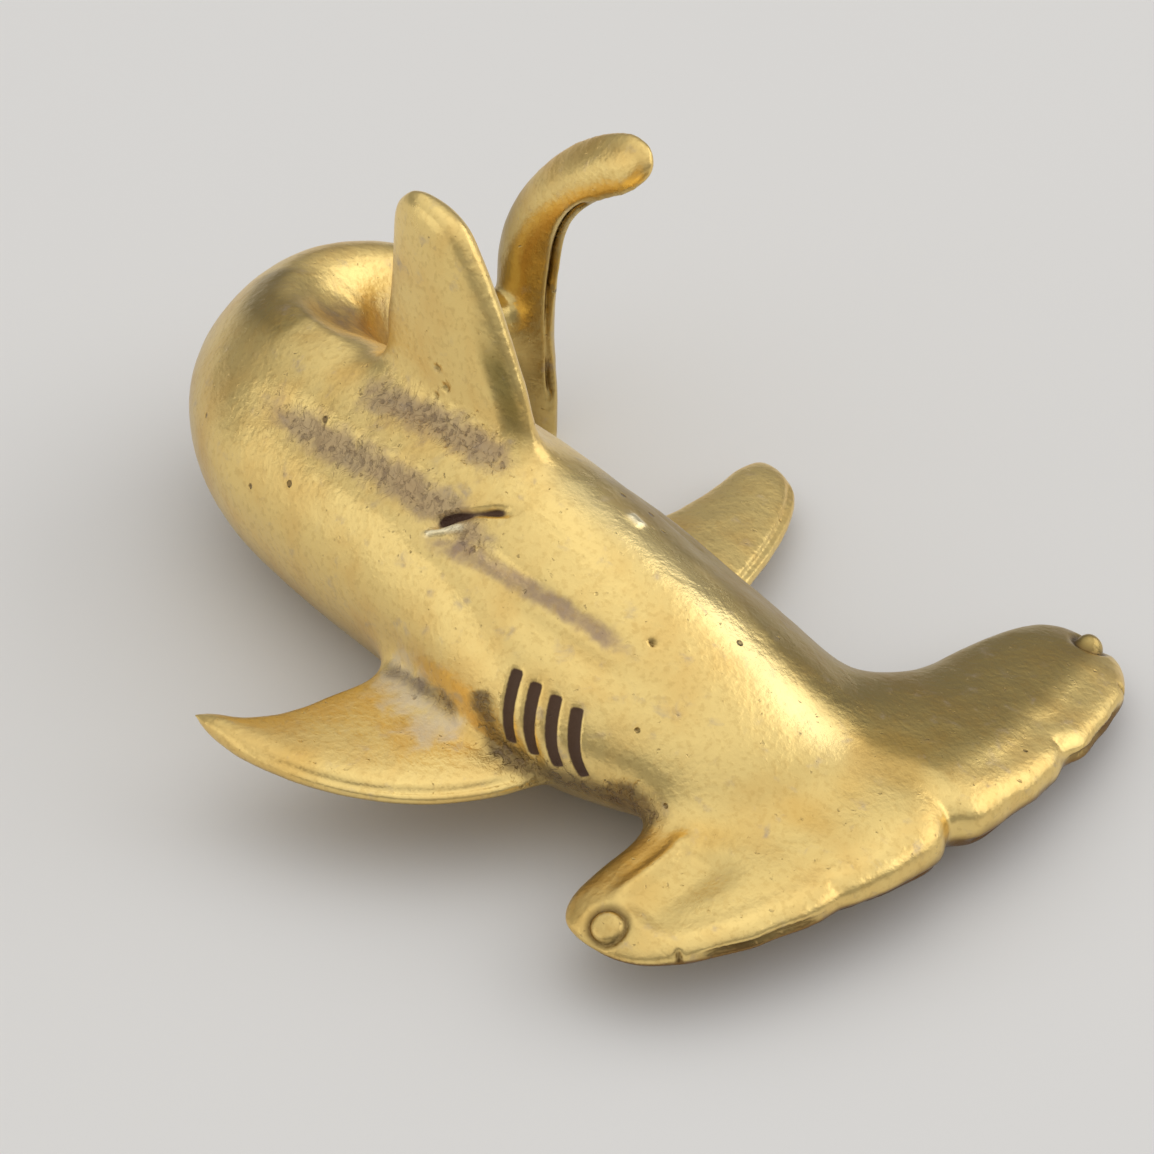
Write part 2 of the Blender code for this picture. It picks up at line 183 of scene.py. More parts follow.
@dataclass
class Trunk:
    """Body and tail stock, one tapering tube that turns back beside itself."""

    lean: float = 5.0
    snout_x: float = 24.2
    bend_x: float = -8.0
    half_width: float = 6.0
    half_height: float = 6.3
    neck_half_width: float = 6.8
    crest: float = 0.30
    lateral_groove: float = 0.28
    belly_flat: float = 0.30
    bend_turn: float = 168.0
    bend_radius: float = 5.5
    stock_length: float = 0.8
    stock_half_width: float = 1.1
    stock_half_height: float = 1.7
    head_offset: float = 3.7
    head_mid_z: float = 3.4
    sections: int = 320

    def __post_init__(self) -> None:
        """Lay the centre line: its turn is eased in and out round the bend."""
        self.straight = self.snout_x - self.bend_x
        arc = math.radians(self.bend_turn) * self.bend_radius
        total = self.straight + arc + self.stock_length
        s = np.linspace(0.0, total, self.sections)
        u = np.clip((s - self.straight + 0.1 * arc) / (1.2 * arc), 0.0, 1.0)
        turn = math.radians(self.bend_turn) * (0.4 * u + 0.6 * smooth(u))
        step = np.gradient(s)
        x = self.snout_x - np.concatenate([[0.0], np.cumsum(np.cos(turn) * step)[:-1]])
        y = np.concatenate([[0.0], np.cumsum(np.sin(turn) * step)[:-1]])
        y = y + self.head_offset * (1.0 - smooth(s / (0.5 * self.straight)))
        bend = self.straight + 0.5 * arc
        mid = self.half_height - self.belly_flat
        z = blend(s, [0, 4, 7, 13, 19, 30, bend, total],
                  [self.head_mid_z - self.belly_flat, mid - 2.6, mid - 2.0, mid - 0.8, mid, mid,
                   mid + 0.2, mid - 0.4])
        self.s = s
        self.line = np.stack([x, y, z], 1)
        self.left, self.up = lean_axes(-np.gradient(self.line, axis=0), self.lean)
        marks = [0, 4, 9, 14, 21, 29, self.straight + 0.25 * arc, self.straight + 0.75 * arc, total]
        self.wide = blend(s, marks, [1.2, 4.3, self.neck_half_width - 0.6, self.neck_half_width,
                                     self.half_width, 5.4, 4.5, 2.9, self.stock_half_width])
        self.high = blend(s, marks, [0.8, 1.8, 3.7, 5.2, self.half_height, 6.1, 5.3, 3.7,
                                     self.stock_half_height])

    def rings(self, angle: np.ndarray) -> np.ndarray:
        """Points of every section at the given angles; a quarter turn is the back.

        A section is an ellipse, narrowed towards the back by the crest, with a shallow dent
        along each flank at the height where the cosine of the angle is 0.78.

        Args:
            angle: Angles round the section, radians.

        Returns:
            Grid of points, sections by angles by 3.
        """
        back = np.clip(np.sin(angle), 0.0, 1.0)
        across = self.wide[:, None] * np.cos(angle) * (1.0 - self.crest * back ** 1.5)
        high = self.high[:, None] * np.sin(angle)
        on_flank = np.exp(-((np.abs(np.cos(angle)) - 0.78) / 0.06) ** 2) * (np.sin(angle) > 0.0)
        fade = smooth((self.s - 9.0) / 5.0) * smooth((self.straight + 2.0 - self.s) / 6.0)
        dent = 1.0 - (self.lateral_groove * fade / self.high)[:, None] * on_flank
        return (self.line[:, None] + (across * dent)[..., None] * self.left[:, None]
                + (high * dent)[..., None] * self.up[:, None])

    def shell(self) -> Shell:
        """The tube itself."""
        return tube(self.rings(np.linspace(0.0, 2.0 * math.pi, 160, endpoint=False)))

    def on_skin(self, x: np.ndarray, angle: np.ndarray) -> np.ndarray:
        """Points on the skin of the straight part of the trunk.

        Args:
            x: Where along the row's X axis, millimetres.
            angle: Angle round the section, degrees; 90 is the back and 180 the right flank.

        Returns:
            One point for each pair.
        """
        keep = self.s < self.straight
        grid = self.rings(np.radians(angle))[keep]
        out = []
        for k, place in enumerate(x):
            column = grid[::-1, k]
            out.append([np.interp(place, column[:, 0], column[:, a]) for a in range(3)])
        return np.array(out)


@dataclass
class Hammer:
    """The head's two wings: one thick blade with a rounded, notched front."""

    span: float = 28.82
    offset: float = 3.7
    front_x: float = 25.76
    chord: float = 8.6
    sweep: float = 3.4
    thick: float = 2.3
    mid_z: float = 3.1
    droop: float = 0.95
    notch_depth: float = 0.75
    notch_width: float = 0.65
    notch_offset: float = 6.55
    notch_shift: float = 0.45
    right_fillet: float = 7.5
    left_fillet: float = 5.0
    eye_radius: float = 0.58
    lean: float = 3.3

    def __post_init__(self) -> None:
        """Find the blade's own left and up directions."""
        self.left, self.up = lean_axes(np.array([1.0, 0.0, 0.0]), self.lean)

    def place(self, x: np.ndarray, y: np.ndarray, z: np.ndarray) -> np.ndarray:
        """Points of the row's frame, from places given in the blade's own directions.

        Args:
            x: Along the row's X axis, millimetres.
            y: Across the head, to the left of its middle.
            z: Above the blade's root.

        Returns:
            One point for each triple.
        """
        middle = np.array([0.0, self.offset, 0.0])
        return (middle + np.asarray(x)[..., None] * np.array([1.0, 0.0, 0.0])
                + np.asarray(y)[..., None] * self.left + np.asarray(z)[..., None] * self.up)

    def notches(self) -> tuple[float, float, float]:
        """Where the three notches are, across the head: the middle, the left and the right one."""
        return 0.0, self.notch_shift + self.notch_offset, self.notch_shift - self.notch_offset

    def outline(self, t: np.ndarray) -> tuple[np.ndarray, ...]:
        """Front and rear edge, end rounding and height at t, which runs -1 to 1 across.

        The front edge is swept back with |t|^2.3 and takes three notches, each a small bell
        curve; the rear edge bulges where it meets the trunk.

        Args:
            t: Share of the half span, signed.

        Returns:
            Across, front, rear, rounding and height, each like t.
        """
        y = 0.5 * self.span * t
        rounding = (1.0 - np.abs(t) ** 12) ** 0.4
        front = self.front_x - self.sweep * np.abs(t) ** 2.3 * (1.0 - 0.08 * t)
        for place, share in zip(self.notches(), (1.0, 0.35, 0.35)):
            front = front - share * self.notch_depth * np.exp(-((y - place) / self.notch_width) ** 2)
        front = front + 0.03 * (np.sin(1.7 * y) + np.sin(3.1 * y + 1.0) - 2.0)
        fillet = np.where(y > 0.0, self.left_fillet, self.right_fillet)
        rear = self.front_x - self.chord + 0.3 * t * np.abs(t) - 2.1 * np.exp(-(np.abs(y) / fillet) ** 5)
        height = self.mid_z - self.droop * t ** 2
        return y, front, rear, rounding, height

    def shell(self) -> Shell:
        """The blade: flat oval sections, thicker at the middle, closing in at each end.

        Returns:
            The blade as a shell.
        """
        t = np.sin(np.linspace(-0.5, 0.5, 241) * math.pi)
        y, front, rear, rounding, height = self.outline(t)
        middle = 0.5 * (front + rear)
        chord = 0.5 * (front - rear) * rounding + 0.05
        thick = self.thick * np.maximum(rounding, 0.12) * (0.35 + 0.65 * rounding)
        thick = thick * (1.0 + 0.9 * np.exp(-(y / 6.0) ** 2))
        angle = np.linspace(0.0, 2.0 * math.pi, 96, endpoint=False)
        along = np.cos(angle)
        swell = 0.5 * np.sign(np.sin(angle)) * np.abs(np.sin(angle)) ** 0.6 * (0.86 - 0.08 * along)
        x = middle[:, None] + chord[:, None] * along
        z = height[:, None] + thick[:, None] * swell
        return tube(self.place(x, np.broadcast_to(y[:, None], x.shape), z))

    def eye(self, side: Side) -> Shell:
        """A low oval bead at the outer end of a wing: a ball squashed to three unlike radii.

        Args:
            side: Which wing.

        Returns:
            The bead as a shell.
        """
        angle = np.linspace(0.0, 2.0 * math.pi, 40, endpoint=False)
        v = np.linspace(-0.48, 0.48, 25)[:, None] * math.pi
        r = self.eye_radius
        bead = self.place(1.2 * r * np.cos(v) * np.cos(angle), r * np.cos(v) * np.sin(angle),
                          1.15 * r * np.sin(v) * np.ones_like(angle))
        return tube(bead - self.place(np.zeros(1), np.zeros(1), np.zeros(1)) + self.eye_centre(side))

    def eye_centre(self, side: Side) -> np.ndarray:
        """Middle of an eye.

        Args:
            side: Which wing.

        Returns:
            The point.
        """
        y, front, rear, _, height = self.outline(np.array([side.value * 0.94]))
        return self.place(0.5 * (front + rear) + 0.15, y, height + 0.46)[0]

    def edge(self, t: np.ndarray, inset: float, lift: float) -> np.ndarray:
        """Points along the front edge.

        Args:
            t: Share of the half span, signed.
            inset: How far behind the edge, millimetres.
            lift: How far above the blade's middle plane, millimetres.

        Returns:
            One point for each t.
        """
        y, front, _, _, height = self.outline(t)
        return self.place(front - inset, y, height + lift)


def fin_blade(base: np.ndarray, across: np.ndarray, height: np.ndarray, lead: np.ndarray,
              trail: np.ndarray, thick: np.ndarray, tip_round: float) -> Shell:
    """A fin between a leading and a trailing edge that both run from root to tip.

    A section is a drop, wider towards the leading edge: half its thickness times the sine of
    the angle times (0.8 + 0.2 cos). Towards the tip both its length and its thickness shrink
    like the rings of a ball whose radius is tip_round.

    Args:
        base: Root point.
        across: Direction of the thickness.
        height: Direction from root to tip.
        lead: Leading edge, X and reach in each row.
        trail: Trailing edge, X and reach in each row.
        thick: Thickness at each row.
        tip_round: Radius of the tip, millimetres.

    Returns:
        The fin as a shell.
    """
    angle = np.linspace(0.0, 2.0 * math.pi, 72, endpoint=False)
    reach = 0.5 * (lead[:, 1] + trail[:, 1])
    close = np.sqrt(1.0 - np.clip((reach - reach.max() + tip_round) / tip_round, 0.0, 0.998) ** 2)
    toward = 0.5 + 0.5 * close[:, None] * np.cos(angle)
    swell = 0.5 * np.sin(angle) * (0.8 + 0.2 * np.cos(angle)) * close[:, None]
    x = trail[:, :1] + (lead[:, :1] - trail[:, :1]) * toward
    out = trail[:, 1:] + (lead[:, 1:] - trail[:, 1:]) * toward
    return tube(base + x[..., None] * np.array([1.0, 0.0, 0.0]) + out[..., None] * height
                + (thick[:, None] * swell)[..., None] * across)


def fin_thickness(thick: float, flare: float, count: int) -> np.ndarray:
    """Thickness from root to tip: a straight taper, and a flare exp(-t / flare) into the body.

    Args:
        thick: Thickness of the blade, millimetres.
        flare: Share of the reach over which the flare dies away.
        count: How many rows.

    Returns:
        The thickness at each row.
    """
    t = np.linspace(0.0, 1.0, count)
    return thick * (1.0 - 0.42 * t) + 0.9 * np.exp(-t / flare)


@dataclass
class DorsalFin:
    """The tall fin on the back, swept back and hollow along its rear edge."""

    front_x: float = 6.0
    base_length: float = 11.0
    height: float = 9.7
    thick: float = 2.4
    tip: float = 2.9
    tip_round: float = 1.1
    root: tuple[float, float, float] = (0.0, 0.6, 10.9)
    lean: float = 5.0

    def shell(self) -> Shell:
        """The blade between its two edge curves.

        Returns:
            The fin as a shell.
        """
        left, up = lean_axes(np.array([1.0, 0.0, 0.0]), self.lean)
        back = self.front_x - self.base_length
        tip = back + 2.2
        high = self.height
        lead = bezier([(self.front_x + 1.2, -1.6), (self.front_x - 2.4, 0.42 * high), (tip + 4.2, high),
                       (tip + 0.6 * self.tip, high + 0.4)], 90)
        trail = bezier([(back - 0.8, -1.6), (back + 1.4, 0.3 * high), (back + 0.7, 0.75 * high),
                        (tip - 0.4 * self.tip, high + 0.4)], 90)
        thick = fin_thickness(self.thick, 0.12, 90) + 0.35 * np.linspace(0.0, 1.0, 90)
        return fin_blade(np.array(self.root), left, up, lead, trail, thick, self.tip_round)


@dataclass
class PectoralFin:
    """A side fin: the right one is hooked, the left one longer and blunt."""

    side: Side
    reach: float
    tip_round: float
    root_length: float = 11.5
    thick: float = 1.9
    mid_x: float = 4.8
    mid_z: float = 3.6
    drop: float = 0.05
    lean: float = 5.0

    def edges(self, count: int) -> tuple[np.ndarray, np.ndarray]:
        """The two edges of the fin, Bezier curves from root to tip.

        Args:
            count: How many rows.

        Returns:
            Leading and trailing edge, X and reach in each row.
        """
        r = self.reach
        if self.side is Side.RIGHT:
            lead = bezier([(8.1, 2.5), (8.3, 0.60 * r), (5.3, 0.98 * r), (-4.5, r)], count)
            trail = bezier([(7.5 - self.root_length, 2.5), (-1.3, 0.40 * r), (-1.2, 0.92 * r),
                            (-5.4, r - 0.9)], count)
        else:
            lead = bezier([(5.6, 2.5), (3.6, 0.60 * r), (0.9, 0.94 * r), (-1.9, r)], count)
            trail = bezier([(6.9 - self.root_length, 2.5), (-2.0, 0.40 * r), (-2.6, 0.80 * r),
                            (-4.4, r - 0.1)], count)
        return lead, trail

    def frame(self) -> tuple[np.ndarray, np.ndarray, np.ndarray]:
        """Root point, direction of the thickness and direction of the reach."""
        left, up = lean_axes(np.array([1.0, 0.0, 0.0]), self.lean)
        return np.array([self.mid_x, 0.0, self.mid_z]), up, self.side.value * left - self.drop * up

    def rim(self, inset: float) -> Stroke:
        """A thin groove on the upper side, a little behind the leading edge.

        Args:
            inset: How far behind the edge, millimetres.

        Returns:
            The groove.
        """
        lead, trail = self.edges(60)
        base, up, out = self.frame()
        toward = trail - lead
        toward = toward / np.linalg.norm(toward, axis=1)[:, None] * inset
        path = lead + toward
        line = base + path[:, :1] * np.array([1.0, 0.0, 0.0]) + path[:, 1:] * out + 0.35 * up
        return Stroke(line[14:56:3], 0.15, 0.12, fade=0.15)

    def shell(self) -> Shell:
        """The blade between its two edge curves.

        Returns:
            The fin as a shell.
        """
        lead, trail = self.edges(90)
        base, up, out = self.frame()
        thick = fin_thickness(self.thick, 0.2, 90) + 0.35 * np.linspace(0.0, 1.0, 90) ** 3
        return fin_blade(base, up, out, lead, trail, thick, self.tip_round)


@dataclass
class TailFin:
    """A crescent standing on edge, its upper horn reaching forward."""

    root_x: float = -11.2
    y: float = 13.0
    top_z: float = 16.5
    chord: float = 4.6
    thick: float = 1.8
    horn_roll: float = 27.0

    def spine(self, count: int) -> np.ndarray:
        """The curve from the lower horn to the upper one.

        Args:
            count: How many points.

        Returns:
            The points.
        """
        x, y, top = self.root_x, self.y, self.top_z
        return bezier([(x + 3.7, y - 0.5, -0.7), (x + 2.4, y - 0.1, 0.3 * top), (x, y - 0.1, 0.51 * top),
                       (x + 2.2, y + 0.9, 0.87 * top), (x + 8.4, y + 1.5, 0.97 * top)], count)

    def sections(self, count: int) -> tuple[np.ndarray, ...]:
        """Where the sections are, how they are turned and how large they are.

        Width and thickness are eased through stations from horn to horn; the upper horn closes
        like a ball, and rolls so that its outer face looks up.

        Args:
            count: How many sections.

        Returns:
            Middle, chord direction, thickness direction, width and thickness of each.
        """
        middle = self.spine(count)
        t = np.linspace(0.0, 1.0, count)
        flat = np.array([0.1, 1.0, 0.0]) / math.hypot(0.1, 1.0)
        chord = np.cross(np.gradient(middle, axis=0), flat)
        chord /= np.linalg.norm(chord, axis=1)[:, None]
        roll = math.radians(self.horn_roll) * smooth((t - 0.5) / 0.35)[:, None]
        flat, chord = (flat * np.cos(roll) - chord * np.sin(roll),
                       chord * np.cos(roll) + flat * np.sin(roll))
        marks = [0, 0.12, 0.4, 0.7, 0.9, 1.0]
        close = np.sqrt(1.0 - np.clip((t - 0.93) / 0.071, 0.0, 1.0) ** 2)
        width = self.chord * blend(t, marks, [0.25, 0.5, 0.84, 0.70, 0.64, 0.56]) * close
        thick = self.thick * blend(t, marks, [0.4, 0.8, 1.15, 0.85, 0.72, 0.65]) * close
        return middle, chord, flat, width, thick

    def shell(self) -> Shell:
        """Lens-shaped sections across the spine: half the thickness times sin |sin|^0.35.

        Returns:
            The fin as a shell.
        """
        middle, chord, flat, width, thick = self.sections(130)
        angle = np.linspace(0.0, 2.0 * math.pi, 64, endpoint=False)
        swell = np.sin(angle) * np.abs(np.sin(angle)) ** 0.35
        return tube(middle[:, None] + (0.5 * width[:, None] * np.cos(angle))[..., None] * chord[:, None]
                    + (0.5 * thick[:, None] * swell)[..., None] * flat[:, None])

    def hollow_edge(self, start: float, end: float, aside: float) -> np.ndarray:
        """Points along the crescent's hollow edge, between two shares of its length.

        Args:
            start: Share of the length from the lower horn.
            end: Where it stops.
            aside: Sideways shift, as a share of the half thickness.

        Returns:
            The path.
        """
        middle, chord, flat, width, thick = self.sections(121)
        keep = slice(int(start * 120), int(end * 120) + 1, 4)
        inner = middle - 0.5 * chord * (width * math.sqrt(1.0 - aside ** 2))[:, None]
        return (inner + 0.5 * aside * thick[:, None] * flat)[keep]


# carving


@dataclass(frozen=True)
class Stroke:
    """A mark drawn on the skin along a path, sunk or raised, with or without a lip."""

    path: np.ndarray
    half_width: float
    depth: float
    lip: float = 0.0
    fade: float = 0.15
    flat: float = 4.0

    def reach(self, points: np.ndarray) -> tuple[np.ndarray, np.ndarray]:
        """Distance from each point to the path, and the share of the path where that is.

        Args:
            points: Places to measure from, millimetres.

        Returns:
            Distances in millimetres, and shares from 0 to 1.
        """
        far = np.full(len(points), 1e9)
        share = np.zeros(len(points))
        last = len(self.path) - 1
        for i in range(last):
            a = self.path[i]
            run = self.path[i + 1] - a
            t = np.clip((points - a) @ run / (run @ run), 0.0, 1.0)
            d = np.linalg.norm(points - a - t[:, None] * run, axis=1)
            near = d < far
            far = np.where(near, d, far)
            share = np.where(near, (i + t) / last, share)
        return far, share

    def strength(self, points: np.ndarray, spread: float = 1.0) -> np.ndarray:
        """How much of the mark each point carries: exp(-(d / half width)^flat), faded at the ends.

        Args:
            points: Places on the skin, millimetres.
            spread: How many times wider than the mark itself.

        Returns:
            A share from 0 to 1 for each point.
        """
        low = self.path.min(0) - 4.0 * spread * self.half_width
        high = self.path.max(0) + 4.0 * spread * self.half_width
        inside = np.all((points > low) & (points < high), axis=1)
        out = np.zeros(len(points))
        d, t = self.reach(points[inside])
        ends = smooth(t / max(self.fade, 1e-3)) * smooth((1.0 - t) / max(self.fade, 1e-3))
        out[inside] = np.exp(-(d / (spread * self.half_width)) ** self.flat) * (0.15 + 0.85 * ends)
        return out

    def shift(self, points: np.ndarray) -> np.ndarray:
        """How far each point moves out of the skin: a trough with a bank beside it.

        Args:
            points: Places on the skin, millimetres.

        Returns:
            Millimetres outwards for each point.
        """
        trough = self.strength(points)
        bank = self.strength(points, 2.0) * (1.0 - trough)
        return self.lip * bank - self.depth * trough


@dataclass(frozen=True)
class Ring:
    """A groove round a bead: strongest at one distance from the bead's middle."""

    centre: np.ndarray
    radius: float
    half_width: float
    depth: float

    def strength(self, points: np.ndarray) -> np.ndarray:
        """How much of the groove each point carries: a bell curve of the distance."""
        d = np.linalg.norm(points - self.centre, axis=1)
        return np.exp(-((d - self.radius) / self.half_width) ** 2)

    def shift(self, points: np.ndarray) -> np.ndarray:
        """How far each point moves out of the skin, millimetres."""
        return -self.depth * self.strength(points)


def noise(points: np.ndarray, size: float, seed: int) -> np.ndarray:
    """Soft random field between -1 and 1.

    Random values sit on a cubic lattice whose step is size, and are eased from corner to corner.

    Args:
        points: Places, millimetres.
        size: Lattice step, millimetres.
        seed: Which field.

    Returns:
        One value for each point.
    """
    table = np.random.default_rng(seed).uniform(-1.0, 1.0, (64, 64, 64))
    cell = np.floor(points / size).astype(int)
    f = smooth(points / size - cell)
    total = np.zeros(len(points))
    for dx in (0, 1):
        for dy in (0, 1):
            for dz in (0, 1):
                weight = np.abs((1 - dx, 1 - dy, 1 - dz) - f).prod(axis=1)
                corner = (cell + (dx, dy, dz)) % 64
                total += weight * table[corner[:, 0], corner[:, 1], corner[:, 2]]
    return total


def neighbour_mean(values: np.ndarray, edges: np.ndarray) -> np.ndarray:
    """Mean of each vertex's neighbours.

    Args:
        values: Points or numbers, one for each vertex.
        edges: Vertex pairs.

    Returns:
        The means, shaped like the values.
    """
    n = len(values)
    a, b = edges.T
    count = np.bincount(edges.ravel(), minlength=n)
    columns = values.reshape(n, -1)
    total = [np.bincount(a, columns[b, k], n) + np.bincount(b, columns[a, k], n)
             for k in range(columns.shape[1])]
    return (np.stack(total, 1) / np.maximum(count, 1)[:, None]).reshape(values.shape)


def soften(values: np.ndarray, edges: np.ndarray, weight: float | np.ndarray, rounds: int) -> np.ndarray:
    """Pull each value towards the mean of its neighbours, again and again.

    Args:
        values: Points or numbers, one for each vertex.
        edges: Vertex pairs.
        weight: Share of the way each round, one number or one for each vertex.
        rounds: How often.

    Returns:
        The softened values.
    """
    share = np.broadcast_to(np.asarray(weight, float), (len(values),))
    share = share.reshape((-1,) + (1,) * (values.ndim - 1))
    for _ in range(rounds):
        values = values + share * (neighbour_mean(values, edges) - values)
    return values


# finishes


def srgb(code: str) -> tuple[float, float, float, float]:
    """Linear colour of an sRGB hex code.

    Args:
        code: Such as #C8A94F.

    Returns:
        Red, green, blue and an alpha of 1.
    """
    channels = [int(code[i:i + 2], 16) / 255.0 for i in (1, 3, 5)]
    linear = [c / 12.92 if c <= 0.04045 else ((c + 0.055) / 1.055) ** 2.4 for c in channels]
    return linear[0], linear[1], linear[2], 1.0


def add_node(tree: bpy.types.NodeTree, kind: str, settings: dict | None = None,
             links: dict | None = None) -> bpy.types.Node:
    """Add a node with its settings and links.

    Args:
        tree: The node tree.
        kind: The node's type name.
        settings: Properties by name, and socket values by socket name or number.
        links: Output sockets by the name or number of the input they go into.

    Returns:
        The node.
    """
    node = tree.nodes.new(kind)
    for key, value in (settings or {}).items():
        if isinstance(key, int) or not hasattr(node, key):
            node.inputs[key].default_value = value
        else:
            setattr(node, key, value)
    for key, value in (links or {}).items():
        tree.links.new(value, node.inputs[key])
    return node


def per_metre(size_mm: float) -> float:
    """Texture scale whose pattern repeats about once in size_mm, on Object coordinates in metres."""
    return 1.0 / (size_mm * MM)


AddNode = Callable[..., bpy.types.Node]
"""Adds a node of a kind, with settings and links, to one tree."""

Sockets = dict[str, bpy.types.NodeSocket]
"""Outputs by what they hold."""

EASED = {"interpolation_type": "SMOOTHSTEP"}
"""Setting of a Map Range that goes from one level to the other without corners."""

NOTED = ("wear", "hollow", "crust", "dirt", "slit", "groove", "facet", "lip", "stain", "tarnish", "frost",
         "under")
"""Names of the numbers that the casting notes on its vertices."""


@dataclass(frozen=True)
class AgedCastBrass:
    """Yellow brass, investment cast, tumbled and handled for years.

    It gives the eye a warm satin gold with a soft broad sheen, brighter and smoother on edges
    that hands rub, amber and mauve stains, brown-black grime in the cuts and corners, and along
    the flank a thin grey haze with wormy casting wrinkles that nothing rubs. It also paints light
    and shade: a highlight along the back's crest and a near-white one on a cut's lip and a nick,
    dull yellow-brown shade on the side away from the light and on skin that faces down,
    reddish-brown shade on the turned-down front of the head, and a dark greenish reflection on a
    flat by the dorsal fin.
    """

    # the metal, unworn and worn; the worn gold is also a painted highlight along the back's crest
    metal: str = "#F4D68A"
    warm: str = "#E9C173"
    amber: str = "#DDA43C"
    rubbed_and_highlit: str = "#F9E4A6"
    # painted highlight: near white on the cut's lip and the nick
    bright: str = "#FFF3CC"
    # what sits on it, and three colours of painted light and shade
    haze: str = "#917A70"
    chalk: str = "#E2D8C8"
    wrinkle: str = "#54382A"
    grime: str = "#472C14"
    slit: str = "#46291A"
    # painted reflection: the dark flat by the dorsal fin's front edge
    mauve: str = "#927A72"
    # painted shade on the side away from the light, on skin facing down and in the hook
    painted_reflection_green: str = "#4E4A1E"
    # painted shade on the turned-down front of the head
    painted_shade_olive: str = "#6B5A2A"
    painted_shade_russet: str = "#5E3216"
    dull: str = "#B58E48"
    # the cast grain is really about 0.1 mm and the specks about 0.2 mm; drawn coarser, so that they show
    grain_mm: float = 0.28
    speck_mm: float = 0.34
    worm_mm: float = 0.55
    haze_mm: float = 0.9
    mottle_mm: float = 2.4
    stain_mm: float = 6.5
    pit_mm: float = 1.1
    relief_mm: float = 0.075

    def marks(self, node: AddNode) -> Sockets:
        """The numbers that the casting notes on its vertices, by name."""
        return {name: node("ShaderNodeAttribute", {"attribute_name": name}).outputs["Fac"]
                for name in NOTED}

    def waves(self, node: AddNode, place: bpy.types.NodeSocket) -> Sockets:
        """Noise fields by what they draw, each with its real size, its detail and its twist.

        Args:
            node: Adds a node to the material.
            place: Object coordinates.

        Returns:
            The fields, each about 0 to 1.
        """
        out = {}
        for name, size, detail, twist in (("grain", self.grain_mm, 3.0, 0.0),
                                          ("worm", self.worm_mm, 2.0, 0.7),
                                          ("speck", self.speck_mm, 3.0, 0.4),
                                          ("haze", self.haze_mm, 4.0, 0.3),
                                          ("mottle", self.mottle_mm, 4.0, 0.2),
                                          ("stain", self.stain_mm, 2.0, 0.0)):
            settings = {"Scale": per_metre(size), "Detail": detail, "Roughness": 0.55, "Distortion": twist}
            out[name] = node("ShaderNodeTexNoise", settings, {"Vector": place}).outputs["Fac"]
        return out

    def uneven(self, node: AddNode, mark: Sockets, haze: bpy.types.NodeSocket) -> Sockets:
        """Marks that break up along their borders: the haze field is added, and the sum is eased.

        Args:
            node: Adds a node to the material.
            mark: The casting's numbers.
            haze: The field that breaks them up.

        Returns:
            The broken-up marks, 0 to 1.
        """
        out = {}
        for name, gain, base, low, high in (("crust", 1.5, -0.75, 0.12, 0.95),
                                            ("frost", 2.4, -1.25, 0.15, 1.25),
                                            ("dirt", 1.1, -0.55, 0.10, 1.05),
                                            ("stain", 1.7, -0.85, 0.10, 1.20)):
            field_part = node("ShaderNodeMath", {"operation": "MULTIPLY_ADD", 1: gain, 2: base}, {0: haze})
            total = node("ShaderNodeMath", {"operation": "ADD"}, {0: field_part.outputs[0], 1: mark[name]})
            eased = node("ShaderNodeMapRange", {**EASED, "From Min": low, "From Max": high},
                         {"Value": total.outputs[0]})
            out[name] = eased.outputs[0]
        return out

    def levels(self, node: AddNode, mark: Sockets, wave: Sockets) -> Sockets:
        """Marks and fields cut at a level: slits with a crisp border, flecks, amber and warm zones.

        Args:
            node: Adds a node to the material.
            mark: The casting's numbers.
            wave: The noise fields.

        Returns:
            The cut masks, 0 to 1.
        """
        out = {}
        for name, source, low, high in (("slit", mark["slit"], 0.38, 0.72),
                                        ("fleck", wave["grain"], 0.50, 0.66),
                                        ("amber", wave["stain"], 0.56, 0.70),
                                        ("warm", wave["mottle"], 0.40, 0.72)):
            cut = node("ShaderNodeMapRange", {**EASED, "From Min": low, "From Max": high}, {"Value": source})
            out[name] = cut.outputs[0]
        return out

    def skin_flaws(self, node: AddNode, mark: Sockets, wave: Sockets) -> Sockets:
        """Wormy wrinkles and dark specks, both thick where the skin is crusted or dirty.

        A wrinkle is a thin line where the worm field crosses its middle value. A speck is where
        the speck field rises over a level, which is lower on rough skin.

        Args:
            node: Adds a node to the material.
            mark: The casting's numbers.
            wave: The noise fields.

        Returns:
            The wrinkles and the specks, 0 to 1.
        """
        off = node("ShaderNodeMath", {"operation": "SUBTRACT", 1: 0.5}, {0: wave["worm"]})
        off = node("ShaderNodeMath", {"operation": "ABSOLUTE"}, {0: off.outputs[0]})
        line = node("ShaderNodeMapRange", {**EASED, "From Min": 0.012, "From Max": 0.055,
                                           "To Min": 1.0, "To Max": 0.0}, {"Value": off.outputs[0]})
        rough_skin = node("ShaderNodeMath", {"operation": "MAXIMUM"}, {0: mark["crust"], 1: mark["dirt"]})
        wrinkle = node("ShaderNodeMath", {"operation": "MULTIPLY"},
                       {0: line.outputs[0], 1: rough_skin.outputs[0]})
        often = node("ShaderNodeMath", {"operation": "MULTIPLY_ADD", 1: 0.17, 2: -0.66},
                     {0: rough_skin.outputs[0]})
        above = node("ShaderNodeMath", {"operation": "ADD"}, {0: wave["speck"], 1: often.outputs[0]})
        speck = node("ShaderNodeMapRange", {**EASED, "From Min": 0.0, "From Max": 0.17},
                     {"Value": above.outputs[0]})
        return {"wrinkle": wrinkle.outputs[0], "speck": speck.outputs[0]}

